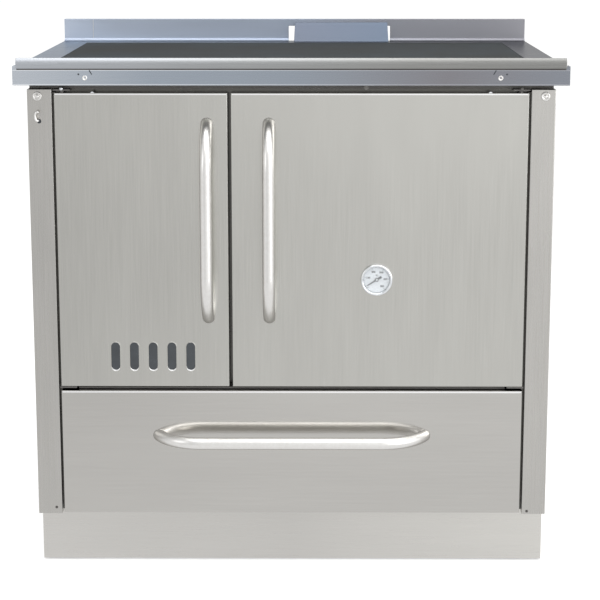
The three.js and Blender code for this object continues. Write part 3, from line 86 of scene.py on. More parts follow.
def add_node(tree: Tree, kind: str, settings: dict | None = None, links: dict | None = None) -> Node:
    """Adds one node, sets its properties and input values, and links its inputs.

    Args:
        tree: the node tree that gets the node.
        kind: the node's type name.
        settings: property names or input names, with their values.
        links: input names or numbers, with the output sockets that feed them.

    Returns:
        The new node.
    """
    node = tree.nodes.new(kind)
    for key, value in (settings or {}).items():
        if isinstance(key, str) and hasattr(node, key):
            setattr(node, key, value)
        else:
            node.inputs[key].default_value = value
    for key, source in (links or {}).items():
        tree.links.new(source, node.inputs[key])
    return node


class Grain(Enum):
    """The way a sheet's brush marks run."""

    UPRIGHT = "upright"
    ACROSS = "across"


def stretched(tree: Tree, grain: Grain, width_mm: float, length_mm: float, detail: float = 2.0) -> Socket:
    """Adds noise drawn out along the grain, from Object coordinates.

    Args:
        tree: the material's node tree.
        grain: the direction of the long side.
        width_mm: the mark's width.
        length_mm: the mark's length.
        detail: the noise's octaves.

    Returns:
        The noise's value socket, from 0 to 1.
    """
    across, along = 1 / (width_mm * MM), 1 / (length_mm * MM)
    scale = (across, across, along) if grain is Grain.UPRIGHT else (along, across, across)
    place = add_node(tree, "ShaderNodeTexCoord").outputs["Object"]
    drawn = add_node(tree, "ShaderNodeMapping", {"Scale": scale}, {"Vector": place})
    settings = {"Scale": 1.0, "Detail": detail, "Roughness": 0.6}
    return add_node(tree, "ShaderNodeTexNoise", settings, {"Vector": drawn.outputs[0]}).outputs["Fac"]


def ramped(tree: Tree, value: Socket, stops: tuple[tuple[float, tuple], ...]) -> Socket:
    """Lays colours along a value.

    Args:
        tree: the node tree.
        value: the socket whose value runs along the stops.
        stops: each stop's value and RGBA colour, in rising order of value.

    Returns:
        The colour socket.
    """
    first, last = stops[0][0], stops[-1][0]
    share = add_node(tree, "ShaderNodeMapRange", {"From Min": first, "From Max": last}, {"Value": value})
    ramp = add_node(tree, "ShaderNodeValToRGB", {}, {0: share.outputs["Result"]})
    marks = ramp.color_ramp.elements
    for place, colour in stops[1:-1]:
        marks.new((place - first) / (last - first)).color = colour
    marks[0].color = stops[0][1]
    marks[len(marks) - 1].color = stops[-1][1]
    return ramp.outputs["Color"]


def pattern_surface(tree: Tree, shader: Node, pattern: Socket, tones: tuple[str, str],
                    roughness: tuple[float, float], span: tuple[float, float] = (0.3, 0.7)) -> None:
    """Lets one pattern change a surface's tone and its roughness together.

    Args:
        tree: the material's node tree.
        shader: its Principled node.
        pattern: the pattern's value socket.
        tones: the hex colours where the pattern is low and where it is high.
        roughness: the roughness at the same two ends.
        span: the pattern's values at those ends.
    """
    settings = {"From Min": span[0], "From Max": span[1]}
    share = add_node(tree, "ShaderNodeMapRange", settings, {"Value": pattern}).outputs["Result"]
    settings = {"data_type": "RGBA", 6: linear(tones[0]), 7: linear(tones[1])}
    tone = add_node(tree, "ShaderNodeMix", settings, {0: share})
    tree.links.new(tone.outputs[2], shader.inputs["Base Color"])
    settings = {"data_type": "FLOAT", 2: roughness[0], 3: roughness[1]}
    spread = add_node(tree, "ShaderNodeMix", settings, {0: share})
    tree.links.new(spread.outputs[0], shader.inputs["Roughness"])


# ---- Finishes ----


@dataclass(frozen=True)
class Finish:
    """What every finish shares: a name, and a Principled shader that a subclass wires.

    Attributes:
        name: the material's name.
    """

    name: str

    def build(self) -> bpy.types.Material:
        """Makes the Blender material.

        Returns:
            The material, wired.
        """
        made = bpy.data.materials.new(self.name)
        made.use_nodes = True
        self.wire(made.node_tree, made.node_tree.nodes["Principled BSDF"])
        return made

    def wire(self, tree: Tree, shader: Node) -> None:
        """Sets the shader's sockets; each subclass has its own.

        Args:
            tree: the material's node tree.
            shader: its Principled node.
        """
        raise NotImplementedError


@dataclass(frozen=True)
class BrushedSteel(Finish):
    """Stainless sheet brushed one way: fine streaks in tone and sheen, and slow clouds across a panel.

    Attributes:
        tones: the bright tone at one or more places, as x in millimetres and a hex colour, left to right;
            where they change along x, the change is painted reflection and painted light.
        grain: the way the streaks run.
        roughness: the middle of the roughness.
        dull: the dull streaks' share of the bright tone.
        rim: the share of light, as a hex grey, that a flat glancing look keeps.
        scratch_mm: a scratch's width and length. Real ones are about 0.1 mm wide; these are drawn as
            coarse as they need to show.
        cloud_mm: a cloud's width and length.
        cloud_share: the clouds' share of the tone; the scratches have the rest.
        haze: how far the scratches take the roughness below and above its middle.
        relief_mm: the scratches' depth.
    """

    tones: tuple[tuple[float, str], ...]
    grain: Grain
    roughness: float = 0.3
    dull: float = 0.92
    rim: str = "FFFFFF"
    scratch_mm: tuple[float, float] = (1.3, 90.0)
    cloud_mm: tuple[float, float] = (60.0, 260.0)
    cloud_share: float = 0.45
    haze: tuple[float, float] = (0.04, 0.05)
    relief_mm: float = 0.02

    def wire(self, tree: Tree, shader: Node) -> None:
        """Multiplies the tone by the streaks, and lets the scratches set the sheen and the relief.

        Args:
            tree: the material's node tree.
            shader: its Principled node.
        """
        fine = stretched(tree, self.grain, *self.scratch_mm, 3.0)
        clouds = stretched(tree, self.grain, *self.cloud_mm, 2.0)
        settings = {"data_type": "FLOAT", 0: self.cloud_share}
        both = add_node(tree, "ShaderNodeMix", settings, {2: fine, 3: clouds})
        settings = {"From Min": 0.34, "From Max": 0.66, "To Min": self.dull, "To Max": 1.0}
        streaks = add_node(tree, "ShaderNodeMapRange", settings, {"Value": both.outputs[0]})
        settings = {"data_type": "RGBA", "blend_type": "MULTIPLY", 0: 1.0}
        tone = add_node(tree, "ShaderNodeMix", settings, {6: self.across(tree), 7: streaks.outputs["Result"]})
        tree.links.new(tone.outputs[2], shader.inputs["Base Color"])
        shader.inputs["Metallic"].default_value = 1.0
        shader.inputs["Specular Tint"].default_value = linear(self.rim)
        low, high = self.roughness - self.haze[0], self.roughness + self.haze[1]
        settings = {"From Min": 0.3, "From Max": 0.7, "To Min": low, "To Max": high}
        spread = add_node(tree, "ShaderNodeMapRange", settings, {"Value": fine})
        tree.links.new(spread.outputs["Result"], shader.inputs["Roughness"])
        settings = {"Strength": 0.25, "Distance": self.relief_mm * MM}
        relief = add_node(tree, "ShaderNodeBump", settings, {"Height": fine})
        tree.links.new(relief.outputs["Normal"], shader.inputs["Normal"])

    def across(self, tree: Tree) -> Socket:
        """Lays the tones from left to right by Object X; a change along X is painted reflection and painted
        light.

        Args:
            tree: the material's node tree.

        Returns:
            The colour socket of the tones.
        """
        place = add_node(tree, "ShaderNodeTexCoord").outputs["Object"]
        x = add_node(tree, "ShaderNodeSeparateXYZ", {}, {0: place}).outputs["X"]
        tones = self.tones
        if len(tones) == 1:
            tones = (tones[0], (tones[0][0] + 1, tones[0][1]))
        return ramped(tree, x, tuple((place_mm * MM, linear(tone)) for place_mm, tone in tones))


@dataclass(frozen=True)
class PolishedTube(Finish):
    """Stainless tube after a fine belt: half mirror, with faint rings of haze, duller towards its rims.

    Attributes:
        colour: the bright tone.
        haze: the tone of the haze.
        roughness: the middle of the roughness.
        rim: the share of light, as a hex grey, that a flat glancing look keeps.
        haze_mm: the size of the haze's patches, as a belt leaves them.
    """

    colour: str
    haze: str
    roughness: float = 0.16
    rim: str = "FFFFFF"
    haze_mm: float = 6.0

    def wire(self, tree: Tree, shader: Node) -> None:
        """Lets the haze change the tone and the sheen.

        Args:
            tree: the material's node tree.
            shader: its Principled node.
        """
        patches = stretched(tree, Grain.UPRIGHT, self.haze_mm, self.haze_mm, 3.0)
        spread = (self.roughness - 0.01, self.roughness + 0.02)
        pattern_surface(tree, shader, patches, (self.haze, self.colour), spread)
        shader.inputs["Metallic"].default_value = 1.0
        shader.inputs["Specular Tint"].default_value = linear(self.rim)


@dataclass(frozen=True)
class MattCoat(Finish):
    """A matt, heat-darkened or painted surface with dust-sized mottling and a slight grit.

    Attributes:
        colour: the main tone.
        mottle: the tone of the patches.
        roughness: the middle of the roughness.
        metallic: 0 for paint, towards 1 for bare dark metal.
        patch_mm: the patches' size.
        grit_mm: the grit's size.
        relief_mm: the grit's depth.
        specular: the Principled specular level, low for soot and blackened iron.
    """

    colour: str
    mottle: str
    roughness: float
    metallic: float
    patch_mm: float
    grit_mm: float
    relief_mm: float
    specular: float

    def wire(self, tree: Tree, shader: Node) -> None:
        """Lets patches change the tone and the sheen; grit is relief alone.

        Args:
            tree: the material's node tree.
            shader: its Principled node.
        """
        patches = stretched(tree, Grain.UPRIGHT, self.patch_mm, self.patch_mm, 4.0)
        grit = stretched(tree, Grain.UPRIGHT, self.grit_mm, self.grit_mm, 2.0)
        spread = (self.roughness - 0.07, self.roughness + 0.07)
        pattern_surface(tree, shader, patches, (self.mottle, self.colour), spread)
        shader.inputs["Metallic"].default_value = self.metallic
        shader.inputs["Specular IOR Level"].default_value = self.specular
        settings = {"Strength": 0.35, "Distance": self.relief_mm * MM}
        relief = add_node(tree, "ShaderNodeBump", settings, {"Height": grit})
        tree.links.new(relief.outputs["Normal"], shader.inputs["Normal"])


@dataclass(frozen=True)
class SpangledZinc(Finish):
    """Hot-dip galvanised sheet: flat zinc crystals, each its own grey.

    Attributes:
        colour: the palest crystal.
        dark: the darkest crystal.
        crystal_mm: a crystal's width.
    """

    colour: str
    dark: str
    crystal_mm: float = 12.0

    def wire(self, tree: Tree, shader: Node) -> None:
        """Lets Voronoi cells stand for the crystals.

        Args:
            tree: the material's node tree.
            shader: its Principled node.
        """
        place = add_node(tree, "ShaderNodeTexCoord").outputs["Object"]
        settings = {"Scale": 1 / (self.crystal_mm * MM)}
        cells = add_node(tree, "ShaderNodeTexVoronoi", settings, {"Vector": place})
        grey = add_node(tree, "ShaderNodeSeparateColor", {}, {0: cells.outputs["Color"]}).outputs[0]
        pattern_surface(tree, shader, grey, (self.dark, self.colour), (0.38, 0.55), (0.0, 1.0))
        shader.inputs["Metallic"].default_value = 0.85


@dataclass(frozen=True)
class Braid(Finish):
    """Glass-fibre rope: the twist itself is in the mesh, the fibres are fine relief.

    Attributes:
        colour: the pale fibres.
        dark: the shaded fibres.
        fibre_mm: a fibre's width, drawn as coarse as it needs to show.
    """

    colour: str
    dark: str
    fibre_mm: float = 0.8

    def wire(self, tree: Tree, shader: Node) -> None:
        """Lets the fibres change the tone and stand up.

        Args:
            tree: the material's node tree.
            shader: its Principled node.
        """
        fibre = stretched(tree, Grain.UPRIGHT, self.fibre_mm, self.fibre_mm, 3.0)
        pattern_surface(tree, shader, fibre, (self.dark, self.colour), (0.95, 0.95))
        shader.inputs["Specular IOR Level"].default_value = 0.15
        settings = {"Strength": 0.6, "Distance": 0.2 * MM}
        relief = add_node(tree, "ShaderNodeBump", settings, {"Height": fibre})
        tree.links.new(relief.outputs["Normal"], shader.inputs["Normal"])


@dataclass(frozen=True)
class Enamel(Finish):
    """Dark vitreous enamel: glossy, with pale specks and an orange-peel ripple.

    Attributes:
        colour: the ground.
        speck: the specks.
        apart_mm: how far the specks, 1.5 mm across, lie apart.
        ripple_mm: the ripple's width.
    """

    colour: str
    speck: str
    apart_mm: float = 14.0
    ripple_mm: float = 5.0

    def wire(self, tree: Tree, shader: Node) -> None:
        """Lets the middle of each Voronoi cell be a speck.

        Args:
            tree: the material's node tree.
            shader: its Principled node.
        """
        place = add_node(tree, "ShaderNodeTexCoord").outputs["Object"]
        settings = {"Scale": 1 / (self.apart_mm * MM)}
        cells = add_node(tree, "ShaderNodeTexVoronoi", settings, {"Vector": place})
        tones = (self.speck, self.colour)
        pattern_surface(tree, shader, cells.outputs["Distance"], tones, (0.16, 0.16), (0.04, 0.07))
        ripple = stretched(tree, Grain.UPRIGHT, self.ripple_mm, self.ripple_mm, 1.0)
        settings = {"Strength": 0.2, "Distance": 0.05 * MM}
        relief = add_node(tree, "ShaderNodeBump", settings, {"Height": ripple})
        tree.links.new(relief.outputs["Normal"], shader.inputs["Normal"])


@dataclass(frozen=True)
class ClearGlass(Finish):
    """The gauge's flat pane."""

    def wire(self, tree: Tree, shader: Node) -> None:
        """Makes a thin pane, which hardly bends light: mostly see-through, with a glossy surface.

        Args:
            tree: the material's node tree.
            shader: its Principled node.
        """
        shader.inputs["Base Color"].default_value = linear("FAFCFD")
        shader.inputs["Roughness"].default_value = 0.03
        shader.inputs["Alpha"].default_value = 0.12


FINISHES: dict[str, Finish] = {finish.name: finish for finish in (
    # Brushed stainless sheet: long soft streaks and a blurred mirror of the room.
    BrushedSteel("brushed_door_steel", ((0, "C9C8C3"),), Grain.UPRIGHT, 0.22),
    BrushedSteel("brushed_drawer_steel", ((0, "C9C7C3"),), Grain.ACROSS, 0.12, 0.94),
    BrushedSteel("brushed_stile_steel", ((0, "C7C5C1"),), Grain.UPRIGHT, 0.26),
    # The plinth's tones are painted light: lighter towards both ends, most on the right.
    BrushedSteel(
        "brushed_plinth_painted_light", ((-440, "DAD8D4"), (0, "CFCDC9"), (440, "E0DED9")),
        Grain.ACROSS, 0.3, 0.95,
    ),
    BrushedSteel("brushed_side_steel", ((0, "C4C2BE"),), Grain.UPRIGHT, 0.32),
    # The same sheet with a painted reflection of a cool sky in its colour: blue on the left, a duller grey on
    # the right.
    BrushedSteel(
        "brushed_fascia_painted_reflection",
        ((-440, "CED4DC"), (-230, "A9B2BD"), (0, "9AA2AC"), (250, "89888D"), (440, "8B8F97")),
        Grain.ACROSS, 0.25, 0.94,
    ),
    BrushedSteel(
        "brushed_frame_painted_reflection",
        ((-440, "B2C0D2"), (-230, "9AA4B0"), (0, "80868F"), (250, "68696F"), (440, "5F6168")),
        Grain.ACROSS, 0.3, 0.94, "CACACA",
    ),
    BrushedSteel(
        "brushed_upstand_painted_reflection", ((-440, "C4CDDB"), (0, "B1BBCB"), (190, "A4A6AE"), (440, "98989E")),
        Grain.ACROSS, 0.5, 0.94,
    ),
    BrushedSteel("brushed_cover_painted_reflection", ((0, "737A88"), (180, "6B7686")), Grain.ACROSS, 0.45, 0.97),
    BrushedSteel(
        "brushed_nosing_painted_reflection", ((-440, "BEC2C8"), (-100, "A9ABAC"), (200, "959593"), (440, "8A8A88")),
        Grain.ACROSS, 0.3, 0.9,
    ),
    # Painted highlights: thin bright lines along folds and lips.
    BrushedSteel(
        "lip_painted_highlight_steel", ((-440, "F2F6FB"), (-100, "D3D9E1"), (200, "A9ABB2"), (440, "A4A6AD")),
        Grain.ACROSS, 0.3, 0.97,
    ),
    BrushedSteel("painted_highlight_steel", ((0, "FFFFFF"),), Grain.ACROSS, 0.3, 0.97),
    # Tube and small turned parts: a white streak of the room down each, grey at the sides.
    PolishedTube("polished_tube_steel", "F2F1EF", "ECEAE7", 0.33, "B2B0AE"),
    PolishedTube("plated_gauge_chrome", "F1F3F5", "E4E7EA", 0.22),
    # Plain sheet in the gaps and behind the vents: half metal, so that it mirrors a grey room. The gap and
    # shutter greys are painted shade, one even grey where the gaps and slots lie in shade.
    MattCoat("coated_liner_steel", "A3A5A3", "8C8D8A", 0.5, 0.6, 40.0, 1.5, 0.04, 0.4),
    MattCoat("rolled_rail_steel", "767472", "6A6866", 0.5, 0.5, 60.0, 1.5, 0.04, 0.4),
    MattCoat("gap_shade_steel", "646360", "5C5B58", 0.24, 1.0, 60.0, 1.5, 0.005, 0.5),
    MattCoat("shutter_shade_steel", "62666A", "595C5F", 0.24, 1.0, 30.0, 1.5, 0.005, 0.5),
    # A pale coat that is painted light under the fascia's return, and dark coats from paint, blacking,
    # casting and soot: matt, with slow patches.
    MattCoat("pale_painted_light_coat", "DEDEDC", "D2D2D0", 0.7, 0.0, 60.0, 1.5, 0.01, 0.3),
    MattCoat("painted_dark_steel", "5E5B59", "4A4847", 0.55, 0.3, 40.0, 1.5, 0.04, 0.3),
    MattCoat("blacked_hob_iron", "474B4E", "3E3F3E", 0.75, 0.0, 160.0, 0.9, 0.02, 0.02),
    MattCoat("cast_grate_iron", "3C3A38", "2A2827", 0.8, 0.2, 12.0, 1.0, 0.2, 0.25),
    MattCoat("sooted_steel", "3A3735", "221F1E", 0.85, 0.1, 45.0, 1.0, 0.05, 0.15),
    # Pressed fireclay: pale and rough, with grit that shows.
    MattCoat("pressed_firebrick", "CDB892", "A48D68", 0.95, 0.0, 35.0, 2.2, 0.5, 0.2),
    MattCoat("moulded_foot_plastic", "2C2C2C", "242424", 0.5, 0.0, 20.0, 0.8, 0.03, 0.4),
    # The gauge's lacquer and printing: even tones with a slight sheen.
    MattCoat("lacquered_dial_white", "E2E7EC", "D9DEE3", 0.5, 0.0, 15.0, 1.0, 0.005, 0.4),
    MattCoat("printed_black", "34383D", "2C3034", 0.6, 0.0, 5.0, 1.0, 0.005, 0.3),
    MattCoat("shaded_recess", "3B3F44", "33373C", 0.4, 0.3, 5.0, 1.0, 0.005, 0.5),
    SpangledZinc("galvanised_zinc", "ADB2B4", "969C9F"),
    Braid("twisted_glass_rope", "8C8A83", "55534E"),
    Enamel("vitreous_enamel", "24272E", "59606C"),
    ClearGlass("gauge_glass"),
)}
MATERIALS: dict[str, bpy.types.Material] = {}


def material(name: str) -> bpy.types.Material:
    """Gives the Blender material of a finish, made the first time it is asked for.

    Args:
        name: a key of FINISHES.

    Returns:
        The material.
    """
    if name not in MATERIALS:
        MATERIALS[name] = FINISHES[name].build()
    return MATERIALS[name]


# ---- Mesh helpers ----


def put(name: str, points: np.ndarray, faces: list, finish: str, body: str, slot: str,
        stands_for: tuple[str, ...] = (), smooth: bool = True) -> bpy.types.Object:
    """Puts a surface into a new object that rides on a body.

    Args:
        name: the piece's name.
        points: vertices, one row each, in metres.
        faces: tuples or arrays of vertex numbers.
        finish: a key of FINISHES.
        body: the CAD body it moves with.
        slot: the record's material slot; not used.
        stands_for: CAD nodes that it replaces.
        smooth: whether the surface is shaded smooth.

    Returns:
        The new object.
    """
    mesh = bpy.data.meshes.new(name)
    mesh.from_pydata(points.reshape(-1, 3).tolist(), [], [tuple(int(i) for i in face) for face in faces])
    mesh.polygons.foreach_set("use_smooth", np.full(len(mesh.polygons), smooth))
    mesh.materials.append(material(finish))
    piece = bpy.data.objects.new(name, mesh)
    bpy.context.scene.collection.objects.link(piece)
    outward(piece)
    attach(piece, body)
    if stands_for:
        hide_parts(*stands_for)
    LOG.info("piece %s on %s: %d faces", name, body, len(mesh.polygons))
    return piece


def outward(piece: bpy.types.Object) -> None:
    """Turns every face of a closed mesh outwards.

    Args:
        piece: the object whose mesh is turned.
    """
    work = bmesh.new()
    work.from_mesh(piece.data)
    bmesh.ops.recalc_face_normals(work, faces=work.faces)
    work.to_mesh(piece.data)
    work.free()


def grid_faces(rows: int, columns: int, wrap_rows: bool, wrap_columns: bool, first: int = 0) -> np.ndarray:
    """Quads of a grid of points.

    Args:
        rows: how many rows of points.
        columns: how many points in a row.
        wrap_rows: whether the last row joins the first.
        wrap_columns: whether each row closes on itself.
        first: the number of the grid's first vertex.

    Returns:
        An array of four vertex numbers for each quad.
    """
    i = np.arange(rows if wrap_rows else rows - 1)
    j = np.arange(columns if wrap_columns else columns - 1)
    a, b = (m.ravel() for m in np.meshgrid(i, j, indexing="ij"))
    c, d = (a + 1) % rows, (b + 1) % columns
    return first + np.stack([a * columns + b, c * columns + b, c * columns + d, a * columns + d], 1)


def swept(path: np.ndarray, radius: np.ndarray | float, up: np.ndarray, sides: int,
          closed: bool = False) -> Solid:
    """A round section carried along a path.

    Each point of the path gets a circle in the plane of up and of (path direction x up), so a path
    that lies in a plane keeps its section from twisting when up is that plane's normal.

    Args:
        path: the middle line, one row a point.
        radius: the section's radius, or one for each point.
        up: the normal of the plane that the path lies in.
        sides: how many sides the section has.
        closed: whether the path closes on itself.

    Returns:
        The points and the faces, with flat caps on an open path.
    """
    ahead = np.roll(path, -1, 0) - np.roll(path, 1, 0) if closed else np.gradient(path, axis=0)
    ahead /= np.linalg.norm(ahead, axis=1, keepdims=True)
    across = np.cross(ahead, up)
    across /= np.linalg.norm(across, axis=1, keepdims=True)
    turn = np.linspace(0, 2 * math.pi, sides, endpoint=False)
    wide = np.broadcast_to(np.asarray(radius, float).reshape(-1, 1, 1), (len(path), 1, 1))
    ring = across[:, None, :] * np.cos(turn)[None, :, None] + up[None, None, :] * np.sin(turn)[None, :, None]
    points = (path[:, None, :] + wide * ring).reshape(-1, 3)
    faces = list(grid_faces(len(path), sides, closed, True))
    if not closed:
        faces += [np.arange(sides)[::-1], len(points) - sides + np.arange(sides)]
    return points, faces


def turned(profile: np.ndarray, centre: np.ndarray, sides: int) -> Solid:
    """A profile of (radius, y) turned about the line through centre along Y; its ends lie on the axis.

    Args:
        profile: one row a point, radius and y in metres.
        centre: where the axis passes.
        sides: how many steps the turn has.

    Returns:
        The points and the faces.
    """
    turn = np.linspace(0, 2 * math.pi, sides, endpoint=False)
    ring = profile[1:-1]
    x = ring[:, :1] * np.cos(turn)
    z = ring[:, :1] * np.sin(turn)
    y = np.broadcast_to(ring[:, 1:], x.shape)
    poles = [[0, profile[0, 1], 0], [0, profile[-1, 1], 0]]
    points = np.concatenate([np.stack([x, y, z], 2).reshape(-1, 3), poles])
    faces = list(grid_faces(len(ring), sides, False, True))
    step = np.arange(sides)
    last = (len(ring) - 1) * sides
    start, end = len(points) - 2, len(points) - 1
    faces += [(start, (i + 1) % sides, i) for i in step]
    faces += [(end, last + i, last + (i + 1) % sides) for i in step]
    return points + centre, faces


def slab(outline: np.ndarray, front: float, back: float) -> Solid:
    """An outline of (x, z) points, carried straight along Y.

    Args:
        outline: one row a point, in order round the outline.
        front: where it starts on Y.
        back: where it ends on Y.

    Returns:
        The points and the faces, with both ends closed.
    """
    count = len(outline)
    points = np.concatenate([np.insert(outline, 1, front, 1), np.insert(outline, 1, back, 1)])
    step = np.arange(count)
    around = np.stack([step, (step + 1) % count, (step + 1) % count + count, step + count], 1)
    return points, [step, step[::-1] + count, *around]


def block(x: tuple[float, float], y: tuple[float, float], z: tuple[float, float]) -> Solid:
    """A straight strip between two places on each axis."""
    return slab(np.array([[x[0], z[0]], [x[1], z[0]], [x[1], z[1]], [x[0], z[1]]]), *y)


def disc(x: float, z: float, radius: float, y: tuple[float, float]) -> Solid:
    """A thin round disc that faces the front.

    Args:
        x: the place of its middle.
        z: the height of its middle.
        radius: its radius.
        y: where its front and its back lie.

    Returns:
        The points and the faces.
    """
    turn = np.linspace(0, 2 * math.pi, 32, endpoint=False)
    return slab(np.stack([x + radius * np.cos(turn), z + radius * np.sin(turn)], 1), *y)


def joined(*solids: Solid) -> Solid:
    """Puts several solids together, each face's numbers moved past the points before it.

    Args:
        solids: the solids, in order.

    Returns:
        The points and the faces of all of them.
    """
    points, faces, first = [], [], 0
    for part_points, part_faces in solids:
        points.append(part_points)
        faces += [np.asarray(face) + first for face in part_faces]
        first += len(part_points)
    return np.concatenate(points), faces


def softened(node: str, finish: str, body: str, edge_mm: float = 0.5, fold_mm: float = 0.0,
             folded: tuple[int, ...] = (0, 2)) -> bpy.types.Object:
    """Stands a copy of a sheet-metal node, with its folds and edges rounded, in place of the node.

    The copy's loose triangles are merged first. An edge that lies on the front of the node's box and on
    a folded side of its rim gets the fold's radius; every other sharp edge gets the small one.

    Args:
        node: the CAD node.
        finish: a key of FINISHES.
        body: the CAD body it moves with.
        edge_mm: the radius of cut edges.
        fold_mm: the radius of the folds round the front, where it is larger.
        folded: the axes whose sides are folded back: 0 for left and right, 2 for bottom and top.

    Returns:
        The new object.
    """
    piece = bpy.data.objects.new(f"{node}_sheet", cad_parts[node].data.copy())
    bpy.context.scene.collection.objects.link(piece)
    mesh = piece.data
    work = bmesh.new()
    work.from_mesh(mesh)
    bmesh.ops.remove_doubles(work, verts=work.verts, dist=MERGE)
    bmesh.ops.dissolve_limit(work, angle_limit=math.radians(1), verts=work.verts, edges=work.edges)
    work.to_mesh(mesh)
    work.free()
    if "custom_normal" in mesh.attributes:
        mesh.attributes.remove(mesh.attributes["custom_normal"])
    mesh.materials.clear()
    mesh.materials.append(material(finish))
    mesh.polygons.foreach_set("use_smooth", np.full(len(mesh.polygons), True))
    weigh_folds(mesh, edge_mm, max(edge_mm, fold_mm), list(folded))
    bevel = piece.modifiers.new("folds", "BEVEL")
    bevel.width = max(edge_mm, fold_mm) * MM
    bevel.segments = 4 if fold_mm > edge_mm else 2
    bevel.limit_method = "WEIGHT"
    bevel.harden_normals = True
    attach(piece, body)
    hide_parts(node)
    LOG.info("piece %s: edges of %.1f mm, folds of %.1f mm", piece.name, edge_mm, fold_mm)
    return piece


def weigh_folds(mesh: bpy.types.Mesh, edge_mm: float, fold_mm: float, folded: list[int]) -> None:
    """Gives each sharp edge a bevel weight: 1 on a front fold, edge over fold elsewhere.

    Args:
        mesh: the merged mesh of a sheet.
        edge_mm: the radius of cut edges.
        fold_mm: the radius of folds.
        folded: the axes whose sides are folded back.
    """
    work = bmesh.new()
    work.from_mesh(mesh)
    weight = work.edges.layers.float.new("bevel_weight_edge")
    spots = np.array([vertex.co[:] for vertex in work.verts])
    low, high = spots.min(0), spots.max(0)
    on_low, on_high = np.abs(spots - low) < NEAR, np.abs(spots - high) < NEAR
    for edge in work.edges:
        if len(edge.link_faces) != 2 or edge.calc_face_angle(0.0) < SHARP:
            continue
        ends = [vertex.index for vertex in edge.verts]
        rim = (on_low[ends].all(0) | on_high[ends].all(0))[folded].any()
        edge[weight] = 1.0 if on_low[ends, 1].all() and rim else edge_mm / fold_mm
    work.to_mesh(mesh)
    work.free()


def painted_highlight_edge(node: str, body: str, height: float = 1.9 * MM) -> None:
    """Lays a painted highlight, a bright line, along the fold at a panel's top edge.

    Args:
        node: the panel's CAD node.
        body: the CAD body it moves with.
        height: the line's height.
    """
    low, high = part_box(node)
    inset, top = 1.5 * MM, high.z - 1.0 * MM
    strip = block((low.x + inset, high.x - inset), (low.y - 0.06 * MM, low.y + 0.8 * MM), (top - height, top))
    put(f"{node}_top_highlight", *strip, "painted_highlight_steel", body, "stainless_panel", smooth=False)


def middle(node: str) -> np.ndarray:
    """Finds the middle of a node's box."""
    low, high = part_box(node)
    return np.array((low + high) / 2)


# ---- Sub-assemblies ----


@dataclass
class Carcass:
    """The cabinet: its sheets with rounded folds, its dark inner parts and its fixings.

    Attributes:
        edge_mm: the radius of a cut edge.
        fold_mm: the outer radius of a folded edge.
        shade_strip_depth: how far the grey strips that paint the gaps' shade lie behind the doors' face.
        shade_strip_sheet: those strips' thickness.
        cabinet: the name of the CAD body.
    """

    edge_mm: float = 0.45
    fold_mm: float = 1.6
    shade_strip_depth: float = 20.6 * MM
    shade_strip_sheet: float = 1.2 * MM
    cabinet: str = "cabinet"

    SHEETS = {
        "plinth": "brushed_plinth_painted_light",
        "left_stile": "brushed_stile_steel",
        "right_stile": "brushed_stile_steel",
        "left_side_panel": "brushed_side_steel",
        "right_side_panel": "brushed_side_steel",
    }
    PLAIN = {
        "moulded_foot_plastic": [
            f"levelling_foot_{end}_{side}" for end in ("front", "rear") for side in ("left", "right")
        ],
        "galvanised_zinc": [
            "base_tray", "rear_panel", "air_shutter", "drawer_runner_left", "drawer_runner_right",
        ],
        "rolled_rail_steel": ["top_crossrail", "drawer_deck", "damper_rod"],
        # The mullion gets the gaps' even grey, which is painted shade.
        "gap_shade_steel": ["centre_mullion"],
        "sooted_steel": ["firebox_shell", "ash_drawer"],
        "pressed_firebrick": [f"firebrick_{side}" for side in ("left", "right", "rear")],
        "cast_grate_iron": ["fire_grate", "damper_plate"],
        "vitreous_enamel": ["oven_box"],
        "painted_dark_steel": ["flue_duct", "flue_collar"],
        "twisted_glass_rope": ["hob_gasket"],
        "polished_tube_steel": ["oven_rack"],
    }
    HINGES = [f"{door}_hinge_{end}" for door in ("firebox", "oven") for end in ("bottom", "top")]

    def dress(self) -> None:
        """Gives every carcass node its finish."""
        for node, finish in self.SHEETS.items():
            softened(node, finish, self.cabinet, self.edge_mm, self.fold_mm, (0,))
        for finish, nodes in self.PLAIN.items():
            for node in nodes:
                repaint(node, finish)
        for node in self.HINGES:
            repaint(node, "rolled_rail_steel")
        self.build_shade_strips()

    def build_shade_strips(self) -> None:
        """Grey strips that paint the shade in the dark gaps: over the doors, and along the inner edge of each
        stile.
        """
        door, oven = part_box("firebox_door_skin"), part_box("oven_door_skin")
        stile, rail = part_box("right_stile"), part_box("top_crossrail")
        front = door[0].y + self.shade_strip_depth
        depth = (front, front + self.shade_strip_sheet)
        wide = oven[1].x - 1 * MM
        over = block((-wide, wide), depth, (door[1].z + 0.3 * MM, rail[0].z + 0.5 * MM))
        put("door_channel_painted_shade", *over, "gap_shade_steel", self.cabinet, "dark_steel", smooth=False)
        inner, outer = oven[1].x + 0.4 * MM, stile[0].x + 0.1 * MM
        height = (stile[0].z + 2 * MM, door[1].z)
        beside = joined(*(block(x, depth, height) for x in ((-outer, -inner), (inner, outer))))
        put("stile_gap_painted_shade", *beside, "gap_shade_steel", self.cabinet, "dark_steel", smooth=False)


def repaint(node: str, finish: str) -> None:
    """Gives a CAD node another material and leaves its shape alone.

    Args:
        node: the CAD node.
        finish: a key of FINISHES.
    """
    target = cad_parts[node].data
    target.materials.clear()
    target.materials.append(material(finish))


